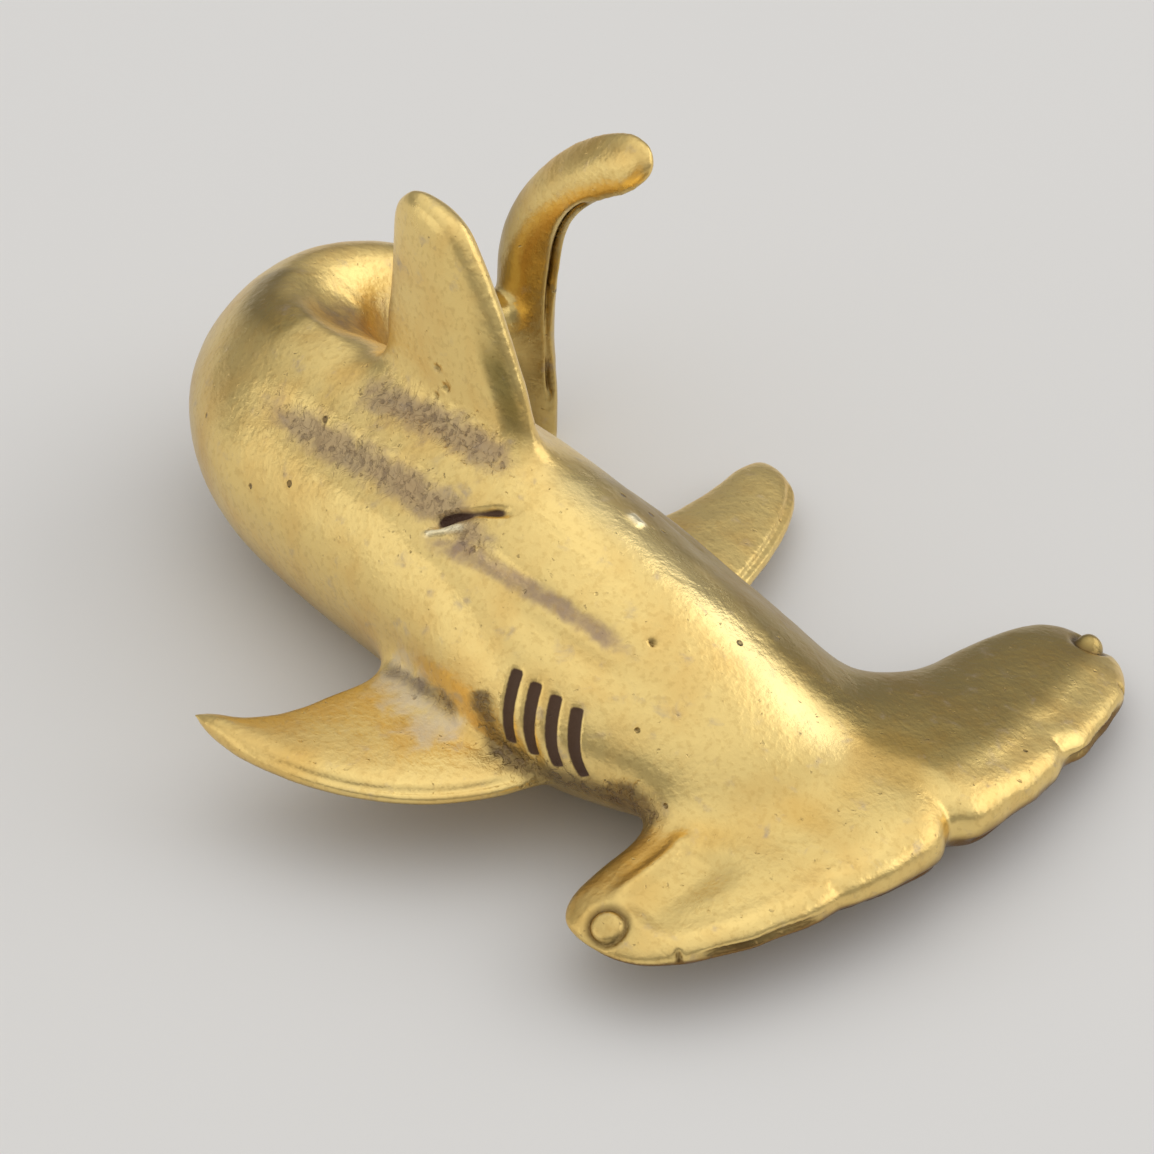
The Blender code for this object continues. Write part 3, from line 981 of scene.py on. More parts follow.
    def gas_pits(self, node: AddNode, place: bpy.types.NodeSocket) -> bpy.types.NodeSocket:
        """A few gas pits: one in each cell of a Voronoi pattern, kept where the cell's number is high.

        Args:
            node: Adds a node to the material.
            place: Object coordinates.

        Returns:
            1 inside a pit and 0 outside.
        """
        cell = node("ShaderNodeTexVoronoi", {"Scale": per_metre(self.pit_mm), "Randomness": 1.0},
                    {"Vector": place})
        number = node("ShaderNodeSeparateColor", {}, {0: cell.outputs["Color"]})
        radius = node("ShaderNodeMapRange",
                      {"From Min": 0.86, "From Max": 0.96, "To Min": 0.0, "To Max": 0.16},
                      {"Value": number.outputs[0]})
        inside = node("ShaderNodeMath", {"operation": "SUBTRACT"},
                      {0: radius.outputs[0], 1: cell.outputs["Distance"]})
        return node("ShaderNodeMapRange", {**EASED, "From Min": 0.0, "From Max": 0.07},
                    {"Value": inside.outputs[0]}).outputs[0]

    def build(self) -> bpy.types.Material:
        """Make the material.

        Returns:
            The material, which reads the numbers that the casting notes on its vertices.
        """
        material = bpy.data.materials.new("aged_cast_brass")
        material.use_nodes = True
        tree = material.node_tree
        tree.nodes.clear()
        node = partial(add_node, tree)
        place = node("ShaderNodeTexCoord").outputs["Object"]
        mark = self.marks(node)
        wave = self.waves(node, place)
        patch = self.uneven(node, mark, wave["haze"])
        level = self.levels(node, mark, wave)
        flaw = self.skin_flaws(node, mark, wave)
        pit = self.gas_pits(node, place)

        colour = node("ShaderNodeRGB").outputs[0]
        colour.default_value = srgb(self.metal)
        # Painted light among these masks: a highlight along the back's crest (noted with the worn edges), a
        # near-white highlight on the cut's lip and the nick, shade on the side away from the light and on
        # down-facing skin, shade on the turned-down front of the head, and a dark reflection on the dorsal's
        # flat.
        for mask, code, share in ((level["warm"], self.warm, 0.6), (level["amber"], self.amber, 0.35),
                                  (mark["tarnish"], self.painted_shade_olive, 0.62), (patch["stain"], self.mauve, 0.75),
                                  (level["fleck"], self.dull, 0.20), (mark["wear"], self.rubbed_and_highlit, 0.7),
                                  (mark["hollow"], self.grime, 0.5), (mark["facet"], self.painted_reflection_green, 0.7),
                                  (patch["crust"], self.haze, 0.58), (patch["frost"], self.chalk, 0.52),
                                  (mark["under"], self.painted_shade_russet, 0.78), (patch["dirt"], self.grime, 0.72),
                                  (flaw["wrinkle"], self.wrinkle, 0.16), (flaw["speck"], self.wrinkle, 0.40),
                                  (pit, self.slit, 0.7), (mark["groove"], self.grime, 0.8),
                                  (mark["lip"], self.bright, 0.9), (level["slit"], self.slit, 0.97)):
            part = node("ShaderNodeMath", {"operation": "MULTIPLY", 1: share}, {0: mask})
            mixed = node("ShaderNodeMix", {"data_type": "RGBA", 7: srgb(code)},
                         {0: part.outputs[0], 6: colour})
            colour = mixed.outputs[2]

        metallic = node("ShaderNodeMath", {"operation": "MULTIPLY_ADD", 1: -0.45, 2: 1.0},
                        {0: patch["crust"]})
        for mask, share in ((flaw["speck"], -0.3), (patch["dirt"], -0.4), (patch["frost"], -0.35),
                            (level["slit"], -0.8)):
            metallic = node("ShaderNodeMath", {"operation": "MULTIPLY_ADD", 1: share, "use_clamp": True},
                            {0: mask, 2: metallic.outputs[0]})
        rough = node("ShaderNodeMath", {"operation": "MULTIPLY_ADD", 1: 0.18, 2: 0.22}, {0: wave["mottle"]})
        for mask, share in ((mark["wear"], -0.08), (patch["crust"], 0.12), (patch["frost"], 0.15),
                            (level["slit"], 0.3)):
            rough = node("ShaderNodeMath", {"operation": "MULTIPLY_ADD", 1: share, "use_clamp": True},
                         {0: mask, 2: rough.outputs[0]})

        height = node("ShaderNodeMath", {"operation": "MULTIPLY", 1: 0.28}, {0: wave["grain"]})
        for mask, share in ((wave["haze"], 0.25), (wave["speck"], 0.22), (flaw["wrinkle"], -0.20),
                            (flaw["speck"], -0.50), (pit, -1.4)):
            height = node("ShaderNodeMath", {"operation": "MULTIPLY_ADD", 1: share},
                          {0: mask, 2: height.outputs[0]})
        bump = node("ShaderNodeBump", {"Strength": 1.0, "Distance": self.relief_mm * MM},
                    {"Height": height.outputs[0]})
        shader = node("ShaderNodeBsdfPrincipled", {},
                      {"Base Color": colour, "Metallic": metallic.outputs[0],
                       "Roughness": rough.outputs[0], "Normal": bump.outputs["Normal"]})
        node("ShaderNodeOutputMaterial", {}, {"Surface": shader.outputs["BSDF"]})
        return material


@dataclass(frozen=True)
class MattPaper:
    """Matt off-white card under the casting; it gives an even pale ground with no sheen."""

    colour: str = "#E6E4E1"
    # the card's fibres are really about 0.1 mm; drawn coarser, so that they show
    grain_mm: float = 0.6

    def build(self) -> bpy.types.Material:
        """Make the material.

        Returns:
            The material.
        """
        material = bpy.data.materials.new("matt_white_card")
        material.use_nodes = True
        tree = material.node_tree
        shader = tree.nodes["Principled BSDF"]
        shader.inputs["Base Color"].default_value = srgb(self.colour)
        shader.inputs["Roughness"].default_value = 0.85
        place = add_node(tree, "ShaderNodeTexCoord").outputs["Object"]
        fibre = add_node(tree, "ShaderNodeTexNoise", {"Scale": per_metre(self.grain_mm), "Detail": 3.0},
                         {"Vector": place}).outputs["Fac"]
        bump = add_node(tree, "ShaderNodeBump", {"Strength": 0.15, "Distance": 0.02 * MM}, {"Height": fibre})
        tree.links.new(bump.outputs["Normal"], shader.inputs["Normal"])
        return material


# the casting


@dataclass
class Casting:
    """The whole shark as one skin."""

    trunk: Trunk = field(default_factory=Trunk)
    hammer: Hammer = field(default_factory=Hammer)
    dorsal: DorsalFin = field(default_factory=DorsalFin)
    right_fin: PectoralFin = field(default_factory=lambda: PectoralFin(Side.RIGHT, 14.2, 0.3))
    left_fin: PectoralFin = field(default_factory=lambda: PectoralFin(Side.LEFT, 17.5, 1.6))
    tail: TailFin = field(default_factory=TailFin)
    fuse_mm: float = 0.135
    most_triangles: int = 192000
    gill_count: int = 4
    gill_first_x: float = 10.4
    gill_spacing: float = 0.93
    gill_rake: float = 0.80
    gill_rake_step: float = 0.15
    gill_half_width: float = 0.24
    gill_depth: float = 0.12
    rim_inset: float = 0.42
    round_rounds: int = 28
    fillet_rounds: int = 300
    bend_rounds: int = 4
    wear_rounds: int = 30
    crust_relief: float = 0.045
    crust_lump: float = 0.32
    skin_relief: float = 0.012
    skin_lump: float = 0.7

    def shells(self) -> list[Shell]:
        """Every limb's closed surface.

        Returns:
            One shell for each limb and each eye.
        """
        return [self.trunk.shell(), self.hammer.shell(), self.hammer.eye(Side.LEFT),
                self.hammer.eye(Side.RIGHT), self.dorsal.shell(), self.right_fin.shell(),
                self.left_fin.shell(), self.tail.shell()]

    def fuse(self) -> bpy.types.Object:
        """Fuse the limbs into one skin of small even faces.

        Returns:
            An object that holds the fused mesh, in metres.
        """
        points, faces, base = [], [], 0
        for shell in self.shells():
            points.append(shell.points)
            faces += (shell.quads + base).tolist() + (shell.triangles + base).tolist()
            base += len(shell.points)
        raw = bpy.data.meshes.new("limbs")
        raw.from_pydata((np.vstack(points) * MM).tolist(), [], faces)
        obj = bpy.data.objects.new("shark", raw)
        bpy.context.scene.collection.objects.link(obj)
        mod = obj.modifiers.new("fuse", "REMESH")
        mod.mode = "VOXEL"
        mod.voxel_size = self.fuse_mm * MM
        self.apply(obj)
        return obj

    @staticmethod
    def apply(obj: bpy.types.Object) -> None:
        """Bake an object's modifiers into its mesh.

        Args:
            obj: The object, which keeps no modifier.
        """
        graph = bpy.context.evaluated_depsgraph_get()
        mesh = bpy.data.meshes.new_from_object(obj.evaluated_get(graph))
        old = obj.data
        obj.modifiers.clear()
        obj.data = mesh
        mesh.name = obj.name
        bpy.data.meshes.remove(old)

    @staticmethod
    def arrays(mesh: bpy.types.Mesh) -> tuple[np.ndarray, np.ndarray, np.ndarray]:
        """A mesh as arrays.

        Args:
            mesh: The mesh, in metres.

        Returns:
            Points in millimetres, vertex pairs of the edges, and vertex normals.
        """
        points = np.empty(len(mesh.vertices) * 3)
        mesh.vertices.foreach_get("co", points)
        edges = np.empty(len(mesh.edges) * 2, dtype=np.int64)
        mesh.edges.foreach_get("vertices", edges)
        normals = np.empty(len(mesh.vertices) * 3)
        mesh.vertex_normals.foreach_get("vector", normals)
        return points.reshape(-1, 3) / MM, edges.reshape(-1, 2), normals.reshape(-1, 3)

    @staticmethod
    def write(mesh: bpy.types.Mesh, points: np.ndarray) -> None:
        """Put points in millimetres into a mesh."""
        mesh.vertices.foreach_set("co", (points * MM).ravel())
        mesh.update()

    def gills(self) -> list[Stroke]:
        """The slits on both flanks, raked a little more from one to the next.

        Returns:
            One stroke for each slit.
        """
        out = []
        for k in range(self.gill_count):
            x = self.gill_first_x + k * self.gill_spacing
            xs = np.linspace(x, x + self.gill_rake + k * self.gill_rake_step, 12)
            for start, end in ((156.0, 189.0), (24.0, -9.0)):
                path = self.trunk.on_skin(xs, np.linspace(start, end, 12))
                out.append(Stroke(path, self.gill_half_width, self.gill_depth, fade=0.08))
        return out

    def cut_mark(self) -> list[Stroke]:
        """A chisel-like cut on the right shoulder, and the turned-up lip below it, painted near white as a
        highlight.

        Returns:
            The cut and the lip.
        """
        cut = np.array([[3.38, -3.70, 10.10], [3.60, -3.38, 10.36], [4.12, -3.02, 10.68],
                        [4.85, -2.50, 10.95], [5.55, -2.10, 11.20], [6.30, -1.72, 11.45]])
        lip = np.array([[3.25, -4.02, 9.90], [3.60, -3.80, 10.10], [4.10, -3.50, 10.32],
                        [4.80, -3.10, 10.62]])
        return [Stroke(cut, 0.24, 0.36, fade=0.22), Stroke(lip, 0.17, -0.16, fade=0.15)]

    def head_marks(self) -> dict[str, list[Stroke | Ring]]:
        """Grooves and ridges of the head, by what they are.

        The front face has a long slot under its lip on each wing, the eyes are ringed, a nostril
        is cut beside each, and the notches run a little way back over the top.

        Returns:
            The marks that hold grime, under dark, and the plain ones, under form.
        """
        h = self.hammer
        dark: list[Stroke | Ring] = []
        form: list[Stroke | Ring] = []
        for side in Side:
            sign = side.value
            slot = h.edge(sign * np.linspace(0.84, 0.48, 16), 0.05, 0.02)
            under = h.edge(sign * np.linspace(0.90, 0.03, 30), 0.10, -0.62)
            dark.append(Stroke(slot, 0.15, 0.24, fade=0.2))
            dark.append(Stroke(under, 0.22, 0.26, fade=0.1))
            dark.append(Ring(h.eye_centre(side), 0.78, 0.14, 0.20))
            t = np.full(5, sign * 0.87)
            y, front, _, _, height = h.outline(t)
            down = np.linspace(0.75, -0.55, 5)
            nostril = h.place(front - 0.55 + 0.5 * np.linspace(0.0, 1.0, 5) ** 0.6, y, height + down)
            dark.append(Stroke(nostril, 0.15, 0.22, fade=0.2))
            rim = h.edge(sign * np.linspace(0.90, 0.12, 24), 1.5, 0.95)
            form.append(Stroke(rim, 0.55, 0.10, fade=0.2, flat=2.0))
        for place in h.notches():
            t = np.full(6, place / (0.5 * h.span))
            y, front, _, _, height = h.outline(t)
            back = np.linspace(-0.1, 0.7 if place else 1.7, 6)
            over = h.place(front - back, y, height + 0.7 + 0.3 * back)
            form.append(Stroke(over, 0.20, 0.09, fade=0.3, flat=2.0))
        return {"dark": dark, "form": form + self.right_wing_ridge()}

    def right_wing_ridge(self) -> list[Stroke]:
        """A ridge that runs out from the neck on the right wing, and the shallow valley before it.

        Returns:
            The ridge and the valley.
        """
        y, _, rear, _, height = self.hammer.outline(Side.RIGHT.value * np.linspace(0.56, 0.90, 9))
        return [Stroke(self.hammer.place(rear + x, y, height + 1.05), wide, depth, fade=0.2, flat=2.0)
                for x, depth, wide in ((2.3, -0.24, 0.38), (3.9, 0.30, 1.1))]

    def tail_slot(self) -> Stroke:
        """The slot down the hollow edge of the tail fin."""
        return Stroke(self.tail.hollow_edge(0.12, 0.88, -0.1), 0.26, 0.42, lip=0.03, fade=0.1)

    def flank_band(self) -> Stroke:
        """The hollow along the right flank where the crust sits.

        Returns:
            The hollow, from the bend to the shoulder.
        """
        xs = np.linspace(-8.9, 8.0, 24)
        path = self.trunk.on_skin(xs, np.linspace(142.0, 134.0, 24))
        return Stroke(path, 0.85, 0.12, fade=0.25, flat=2.0)

    def stripe(self) -> Stroke:
        """The smooth mauve-grey trough that goes on from the cut towards the head.

        Returns:
            The trough.
        """
        path = np.array([[2.4, -4.3, 9.75], [4.2, -4.05, 9.95], [5.83, -3.78, 10.12], [8.0, -3.45, 10.0],
                         [10.29, -3.12, 9.75], [12.6, -2.65, 9.25], [13.8, -2.35, 8.95]])
        return Stroke(path, 0.48, 0.12, fade=0.2, flat=3.0)

    def dorsal_band(self) -> Stroke:
        """The crusted foot of the dorsal fin on its right side.

        Returns:
            The band.
        """
        xs = np.linspace(-4.6, 5.4, 14)
        path = self.trunk.on_skin(xs, np.linspace(114.0, 104.0, 14))
        return Stroke(path, 0.85, 0.05, fade=0.2, flat=2.0)

    def inner_bend(self) -> list[Stroke]:
        """The dished inner wall of the hook, and the sharp crest between it and the back.

        Returns:
            The dish and the crest.
        """
        dish = np.array([[-13.2, 6.4, 9.6], [-12.0, 4.4, 10.8], [-10.2, 3.0, 11.2], [-8.2, 2.3, 11.4],
                         [-6.6, 2.0, 11.5]])
        crest = np.array([[-11.8, 1.6, 11.5], [-9.97, 0.85, 11.75], [-7.82, 0.5, 11.95], [-6.07, 0.35, 12.1]])
        return [Stroke(dish, 1.5, 0.55, fade=0.5, flat=2.2), Stroke(crest, 0.38, -0.14, fade=0.3, flat=2.0)]

    def pits(self) -> list[Stroke]:
        """A few casting pits, each as a very short stroke: where it starts, and its half width.

        Returns:
            One stroke for each pit.
        """
        places = [((-0.3, -0.1, 14.2), 0.13), ((-0.9, -0.1, 14.5), 0.10), ((0.3, -0.1, 13.6), 0.12),
                  ((0.9, -0.15, 13.2), 0.10), ((-0.1, -0.2, 13.0), 0.12), ((15.3, -5.3, 5.4), 0.16),
                  ((15.9, -5.06, 5.1), 0.19), ((16.5, -4.8, 4.8), 0.16), ((14.9, -5.6, 5.0), 0.14),
                  ((13.67, -1.42, 9.12), 0.13), ((13.3, -1.75, 8.95), 0.11)]
        return [Stroke(np.array([at, np.array(at) + (0.25, 0.05, -0.1)]), width, 0.22, fade=0.01)
                for at, width in places]

    def nick(self) -> Stroke:
        """The small raised nick on the left of the back, painted near white as a highlight."""
        return Stroke(np.array([[8.9, 2.0, 10.75], [9.6, 2.05, 10.5]]), 0.28, -0.10, fade=0.05)

    def dirt(self) -> list[Stroke]:
        """Places where grime sits: round the slits, in the neck's corner and at the fin's root.

        Returns:
            Strokes without depth.
        """
        front = self.trunk.on_skin(np.linspace(9.2, 10.8, 5), np.linspace(172.0, 197.0, 5))
        below = self.trunk.on_skin(np.linspace(10.6, 16.8, 8), np.linspace(196.0, 196.0, 8))
        corner = np.array([[15.2, -5.4, 4.6], [16.6, -4.8, 4.4], [17.6, -4.4, 3.7]])
        fin_root = np.array([[3.1, -6.4, 4.2], [4.84, -6.32, 4.5], [6.9, -6.5, 5.1], [8.8, -6.7, 5.2]])
        return [Stroke(path, half_width, 0.0, fade=fade, flat=2.0)
                for path, half_width, fade in ((front, 0.75, 0.1), (below, 0.85, 0.1), (corner, 0.65, 0.05),
                                               (fin_root, 0.5, 0.2))]

    def frost(self) -> Stroke:
        """The frosted root of the right fin."""
        root = np.array([[3.2, -6.5, 5.0], [5.2, -7.2, 4.7], [7.4, -7.6, 4.7], [9.0, -8.0, 4.7]])
        return Stroke(root, 1.5, 0.0, fade=0.1, flat=2.0)

    def facet(self) -> Stroke:
        """A filed flat beside the front edge of the dorsal fin, low on its right side; the material paints it
        dark green, a painted reflection.

        Returns:
            The flat, as a stroke.
        """
        left, up = lean_axes(np.array([1.0, 0.0, 0.0]), self.dorsal.lean)
        t = np.linspace(0.0, 1.0, 6)[:, None]
        foot = np.array(self.dorsal.root) - 0.75 * left + np.array([4.7, 0.0, 0.0]) + 1.6 * up
        rise = 4.4 * up - np.array([2.7, 0.0, 0.0]) + 0.25 * left
        return Stroke(foot + t * rise, 0.55, 0.12, fade=0.35)

    def round_off(self, mesh: bpy.types.Mesh) -> None:
        """Round the fused skin like worn metal, with wide fillets, and dish the bend's inner wall.

        Each vertex goes towards the mean of its neighbours, less where the casting is crisp: at
        the head's front, out on its wings and on the tail fin.

        Args:
            mesh: The fused skin.
        """
        points, edges, _ = self.arrays(mesh)
        x, y, z = points.T
        out_on_wing = smooth(np.abs(y - self.hammer.offset) / 6.0 - 0.2)
        crisp = np.maximum(smooth((x - 21.0) / 2.0), smooth((x - 16.0) / 1.5) * out_on_wing)
        crisp = np.maximum(crisp, smooth((z - 9.0) / 2.0) * smooth((y - 9.0) / 2.0))
        points = soften(points, edges, 0.5 - 0.32 * crisp, self.round_rounds)
        points = soften(points, edges, 0.5 * self.fillets(points), self.fillet_rounds)
        self.write(mesh, points)
        points, edges, normals = self.arrays(mesh)
        for stroke in self.inner_bend():
            points = points + normals * stroke.shift(points)[:, None]
        self.write(mesh, soften(points, edges, 0.5, self.bend_rounds))

    def carve(self, mesh: bpy.types.Mesh) -> None:
        """Sink and raise the marks, and note where they are before the skin moves.

        Args:
            mesh: The rounded skin.
        """
        points, _, normals = self.arrays(mesh)
        head = self.head_marks()
        cut, lip = self.cut_mark()
        gills, nick, facet = self.gills(), self.nick(), self.facet()
        grimy = [self.tail_slot()] + head["dark"] + self.pits()
        bands = [self.flank_band(), self.dorsal_band()]
        rims = [self.right_fin.rim(self.rim_inset), self.left_fin.rim(self.rim_inset)]
        marks = gills + [cut] + grimy + head["form"] + rims + [lip, nick] + bands + [facet, self.stripe()]
        crust = np.clip(sum(stroke.strength(points) for stroke in bands), 0.0, 1.0)
        dirt = np.clip(sum(stroke.strength(points) for stroke in self.dirt()), 0.0, 1.0)
        out = sum(stroke.shift(points) for stroke in marks)
        rough = np.clip(crust + 0.6 * dirt, 0.0, 1.0)
        out += self.crust_relief * rough * noise(points, self.crust_lump, 5)
        out += self.skin_relief * noise(points, self.skin_lump, 8)
        slit = np.max([stroke.strength(points, 1.3) for stroke in gills] + [cut.strength(points)], axis=0)
        groove = np.max([stroke.strength(points) for stroke in grimy], axis=0)
        # Some of these notes are painted light: shade on the side away from the light, shade on the head's
        # turned-down front, and a dark reflection on the facet.
        self.note(mesh, {"crust": crust, "dirt": dirt, "slit": slit, "groove": groove,
                         "facet": facet.strength(points), "frost": self.frost().strength(points),
                         "stain": self.stains(points), "under": self.shaded_under_edge(points, normals),
                         "lip": np.maximum(lip.strength(points), nick.strength(points)),
                         "tarnish": self.tarnish(points, normals)})
        points = points + normals * out[:, None]
        points[:, 2] = np.maximum(points[:, 2], 0.0)
        self.write(mesh, points)

    def fillets(self, points: np.ndarray) -> np.ndarray:
        """How much each point lies where limbs meet: the neck, the fin roots, the stock's end.

        Args:
            points: Places on the skin, millimetres.

        Returns:
            A share from 0 to 1 for each point.
        """
        x, _, z = points.T
        neck = smooth((x - 13.0) / 3.0) * smooth((23.6 - x) / 2.5) * smooth((z - 2.6) / 1.5)
        _, up = lean_axes(np.array([1.0, 0.0, 0.0]), self.dorsal.lean)
        back = np.array([[6.6, 0.0, 0.0], [-6.2, 0.0, 0.0]]) + np.array(self.dorsal.root) + 0.7 * up
        total = neck + Stroke(back, 1.9, 0.0, fade=0.02, flat=3.0).strength(points)
        for side in (Side.RIGHT, Side.LEFT):
            root = np.array([[-1.5, side.value * 6.0, 3.6], [9.0, side.value * 6.2, 3.6]])
            total += Stroke(root, 1.7, 0.0, fade=0.02, flat=3.0).strength(points)
        stock_end = np.linalg.norm(points - self.trunk.line[-1], axis=1)
        return np.clip(total + 0.8 * np.exp(-(stock_end / 2.2) ** 3), 0.0, 1.0)

    def stains(self, points: np.ndarray) -> np.ndarray:
        """Mauve stains: the stripe on the shoulder, and bell-shaped ones inside the hook.

        Args:
            points: Places on the skin, millimetres.

        Returns:
            A share from 0 to 1 for each point.
        """
        wall = np.exp(-(np.linalg.norm(points - (-9.2, 3.2, 10.2), axis=1) / 1.9) ** 2)
        inner = np.exp(-(np.linalg.norm(points - (-9.0, 7.5, 7.5), axis=1) / 3.4) ** 2)
        return np.clip(self.stripe().strength(points) + 0.8 * wall + 0.7 * inner, 0.0, 1.0)

    def tarnish(self, points: np.ndarray, normals: np.ndarray) -> np.ndarray:
        """Painted shade in olive: the left side past the crest line of the back, and over the left wing.

        The share eases in over a millimetre or two left of the crest, and keeps off the front
        rim of the head and the left fin. More shade is painted on skin that faces down, on skin of
        the hook that faces back and to the right, along the top of the hook, on the tail stock,
        and thinly over the head.

        Args:
            points: Places on the skin, millimetres.
            normals: The skin's directions there.

        Returns:
            A share from 0 to 1 for each point.
        """
        x, y, z = points.T
        crest = np.interp(x, [-4.0, 8.2, 12.4, 18.0, 21.4, 25.0], [1.6, 1.3, 2.1, 2.6, 3.3, 4.2])
        side = smooth((y - crest + 0.5 * noise(points, 1.5, 3)) / 1.4)
        t = np.clip((y - self.hammer.offset) / (0.5 * self.hammer.span), -1.0, 1.0)
        _, front, _, _, _ = self.hammer.outline(t)
        along = smooth((x - 4.0) / 3.0) * smooth((front - 1.2 - x) / 1.8)
        along = along * np.where(x > 14.0, 1.0, smooth((9.5 - y) / 2.0))
        bend_top = np.array([[-13.9, 3.2, 10.6], [-12.8, 0.9, 10.8], [-11.0, 0.2, 11.4],
                             [-9.0, -0.1, 11.7]])
        shoulder = Stroke(bend_top, 1.15, 0.0, fade=0.1, flat=2.0).strength(points)
        rim = smooth((normals @ np.array([-0.80, -0.55, 0.0]) - 0.62) / 0.35) * smooth((-6.0 - x) / 4.0)
        below = smooth((-normals[:, 2] - 0.1) / 0.6) * smooth(z / 0.8)
        head = 0.32 * smooth((x - 17.5) / 3.0) * smooth((front - 0.9 - x) / 1.2)
        stem = smooth((13.0 - z) / 3.0) * smooth((y - 9.5) / 1.5) * smooth((-2.0 - x) / 2.0)
        total = np.maximum(side * along, head) + 1.2 * shoulder + 0.6 * rim + 0.8 * below + 0.55 * stem
        return np.clip(total, 0.0, 1.0)

    def shaded_under_edge(self, points: np.ndarray, normals: np.ndarray) -> np.ndarray:
        """Painted shade on the lower half of the head's front face: skin that is turned down.

        Args:
            points: Places on the skin, millimetres.
            normals: The skin's directions there.

        Returns:
            A share from 0 to 1 for each point.
        """
        t = np.clip((points[:, 1] - self.hammer.offset) / (0.5 * self.hammer.span), -1.0, 1.0)
        _, front, _, _, _ = self.hammer.outline(t)
        down = smooth((0.06 - normals[:, 2] + 0.12 * noise(points, 1.1, 11)) / 0.28)
        return down * smooth((points[:, 0] - front + 2.4) / 0.9)

    @staticmethod
    def note(mesh: bpy.types.Mesh, values: dict[str, np.ndarray]) -> None:
        """Keep one number for each vertex under each name.

        Args:
            mesh: The mesh that keeps them.
            values: Columns of numbers by name.
        """
        for name, column in values.items():
            layer = mesh.attributes.get(name) or mesh.attributes.new(name, "FLOAT", "POINT")
            layer.data.foreach_set("value", np.ascontiguousarray(column, dtype=np.float32))

    def thin(self, obj: bpy.types.Object) -> None:
        """Merge faces where the skin is plain, down to the number that the piece may have.

        Args:
            obj: The casting.
        """
        triangles = sum(len(p.vertices) - 2 for p in obj.data.polygons)
        mod = obj.modifiers.new("thin", "DECIMATE")
        mod.ratio = min(1.0, self.most_triangles / triangles)
        self.apply(obj)
        log.info("thinned from %d triangles to %d", triangles, len(obj.data.polygons))

    def weather(self, mesh: bpy.types.Mesh) -> None:
        """Find worn edges and hollows, paint a highlight along the back's crest, and note them.

        Wear and hollow come from how far each vertex stands out of the mean of its neighbours,
        eased over about a millimetre. The back's crest gets a painted highlight all along, noted
        with the worn edges.

        Args:
            mesh: The carved skin.
        """
        points, edges, normals = self.arrays(mesh)
        bend = np.einsum("ij,ij->i", normals, points - neighbour_mean(points, edges))
        length = np.linalg.norm(points[edges[:, 0]] - points[edges[:, 1]], axis=1).mean()
        bend = soften(bend / length ** 2, edges, 0.5, self.wear_rounds)
        # painted highlight along the back's crest
        crest = Stroke(np.array([[5.0, 0.9, 12.2], [8.2, 1.1, 11.3], [12.4, 1.9, 9.5], [18.0, 2.0, 6.7],
                                 [21.4, 2.6, 4.9]]), 0.9, 0.0, fade=0.2, flat=2.0).strength(points)
        self.note(mesh, {"wear": np.maximum(smooth((bend - 0.25) / 0.6), 0.9 * crest),
                         "hollow": smooth((-bend - 0.10) / 0.5)})

    def build(self) -> bpy.types.Object:
        """Make, carve and dress the casting.

        Returns:
            The finished piece.
        """
        obj = self.fuse()
        log.info("fused skin: %d vertices", len(obj.data.vertices))
        self.round_off(obj.data)
        self.carve(obj.data)
        self.thin(obj)
        self.weather(obj.data)
        obj.data.polygons.foreach_set("use_smooth", np.ones(len(obj.data.polygons), dtype=bool))
        obj.data.materials.append(AgedCastBrass().build())
        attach(obj, "root")
        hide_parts("shark_casting")
        return obj


# the studio


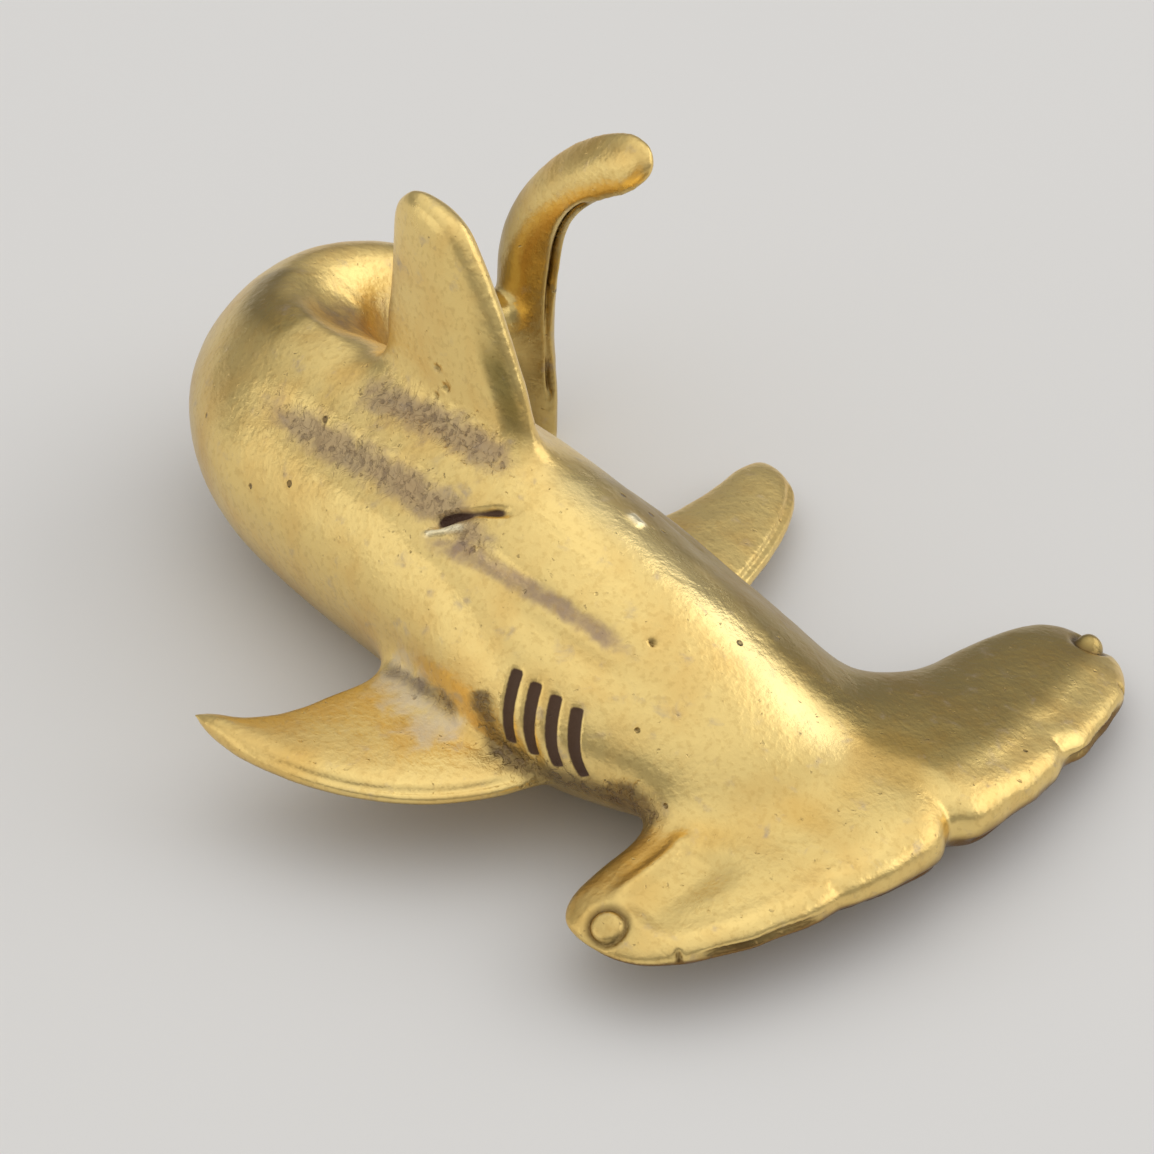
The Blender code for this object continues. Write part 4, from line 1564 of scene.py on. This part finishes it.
@dataclass
class Studio:
    """Pale ground, soft lamps and the camera."""

    floor_radius: float = 3.0
    floor_sides: int = 96
    eye: tuple[float, float, float] = (104.95, -88.88, 114.41)
    target: tuple[float, float, float] = (0.25, 7.06, -0.30)
    roll: float = -0.727
    lens: float = 131.8
    lamp_far: float = 0.8
    surround: tuple[tuple[float, float], ...] = ((0.0, 0.20), (0.38, 0.38), (0.62, 0.74), (1.0, 0.96))

    def floor(self) -> None:
        """A wide round sheet: points at radius r and angle a, for rising r."""
        r = self.floor_radius * np.linspace(0.0, 1.0, 9)[1:] ** 2
        a = np.linspace(0.0, 2.0 * math.pi, self.floor_sides, endpoint=False)
        ring = np.stack([np.cos(a), np.sin(a), np.zeros_like(a)], -1)
        points = np.vstack([[[0.0, 0.0, 0.0]], (r[:, None, None] * ring).reshape(-1, 3)])
        grid = 1 + np.arange(len(r) * self.floor_sides).reshape(len(r), self.floor_sides)
        after = np.roll(grid, -1, axis=1)
        quads = np.stack([grid[:-1], grid[1:], after[1:], after[:-1]], -1).reshape(-1, 4).tolist()
        fans = np.stack([np.zeros_like(grid[0]), grid[0], after[0]], -1).tolist()
        mesh = bpy.data.meshes.new("floor")
        mesh.from_pydata(points.tolist(), [], quads + fans)
        obj = bpy.data.objects.new("floor", mesh)
        bpy.context.scene.collection.objects.link(obj)
        mesh.materials.append(MattPaper().build())

    def lamp(self, name: str, turn: float, height: float, size: tuple[float, float],
             level: float) -> None:
        """A soft box that looks at the casting.

        Args:
            name: What the lamp is for.
            turn: Its direction seen from above, degrees from the camera's way of looking, to the right.
            height: Its height above the horizon, degrees.
            size: Width and height, metres.
            level: How bright its face is; a white card in even light of this level shows it.
        """
        light = bpy.data.lights.new(name, "AREA")
        light.shape = "RECTANGLE"
        light.size, light.size_y = size
        light.energy = level * math.pi * size[0] * size[1]
        ahead = np.array([self.target[0] - self.eye[0], self.target[1] - self.eye[1], 0.0])
        ahead /= np.linalg.norm(ahead)
        right = np.cross(ahead, [0.0, 0.0, 1.0])
        a, h = math.radians(turn), math.radians(height)
        back = math.cos(h) * (math.cos(a) * ahead + math.sin(a) * right) + [0.0, 0.0, math.sin(h)]
        side = np.cross([0.0, 0.0, 1.0], back)
        side /= np.linalg.norm(side)
        turned = Matrix((side, np.cross(back, side), back)).transposed().to_4x4()
        turned.translation = self.lamp_far * back
        obj = bpy.data.objects.new(name, light)
        obj.matrix_world = turned
        bpy.context.scene.collection.objects.link(obj)

    def world(self) -> None:
        """Even light from all round that brightens upwards: stops by the ray's height, 0 to 1."""
        world = bpy.data.worlds.new("surround")
        bpy.context.scene.world = world
        world.use_nodes = True
        tree = world.node_tree
        tree.nodes.clear()
        ray = add_node(tree, "ShaderNodeTexCoord").outputs["Generated"]
        high = add_node(tree, "ShaderNodeSeparateXYZ", {}, {0: ray}).outputs["Z"]
        ramp = add_node(tree, "ShaderNodeValToRGB", {}, {0: high})
        stops = ramp.color_ramp.elements
        for _ in self.surround[2:]:
            stops.new(0.5)
        for stop, (at, level) in zip(stops, self.surround):
            stop.position = at
            stop.color = (level, level, level, 1.0)
        glow = add_node(tree, "ShaderNodeBackground", {"Strength": 1.0}, {"Color": ramp.outputs["Color"]})
        add_node(tree, "ShaderNodeOutputWorld", {}, {"Surface": glow.outputs[0]})

    def camera(self) -> None:
        """A long lens from the right front, looking down at the shark."""
        data = bpy.data.cameras.new("camera")
        data.sensor_fit = "HORIZONTAL"
        data.sensor_width = 36.0
        data.lens = self.lens
        data.clip_start = 0.01
        data.clip_end = 20.0
        obj = bpy.data.objects.new("camera", data)
        ahead = np.array(self.target) - np.array(self.eye)
        ahead /= np.linalg.norm(ahead)
        level = np.cross(ahead, [0.0, 0.0, 1.0])
        level /= np.linalg.norm(level)
        above = np.cross(level, ahead)
        c = math.cos(math.radians(self.roll))
        s = math.sin(math.radians(self.roll))
        turned = Matrix((level * c + above * s, above * c - level * s, -ahead)).transposed().to_4x4()
        turned.translation = np.array(self.eye) * MM
        obj.matrix_world = turned
        bpy.context.scene.collection.objects.link(obj)
        bpy.context.scene.camera = obj

    def build(self) -> None:
        """Set the stage."""
        self.floor()
        self.world()
        self.lamp("right_soft_box", 80.0, 28.0, (0.92, 0.60), 0.95)
        self.lamp("left_soft_box", -100.0, 12.0, (0.70, 0.60), 0.70)
        self.lamp("overhead_box", 20.0, 70.0, (0.45, 0.45), 0.22)
        self.camera()
        bpy.context.scene.view_settings.view_transform = "Standard"


def main() -> None:
    """Build the casting and the studio, and log the packed nodes and the casting's faces."""
    logging.basicConfig(level=logging.INFO, format="%(name)s: %(message)s")
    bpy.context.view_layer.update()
    log.info("packed nodes: %s", ", ".join(FRAME["nodes"]))
    casting = Casting().build()
    log.info("%s: %d faces", casting.name, len(casting.data.polygons))
    Studio().build()
    log.info("studio ready")


if __name__ == "__main__":
    main()
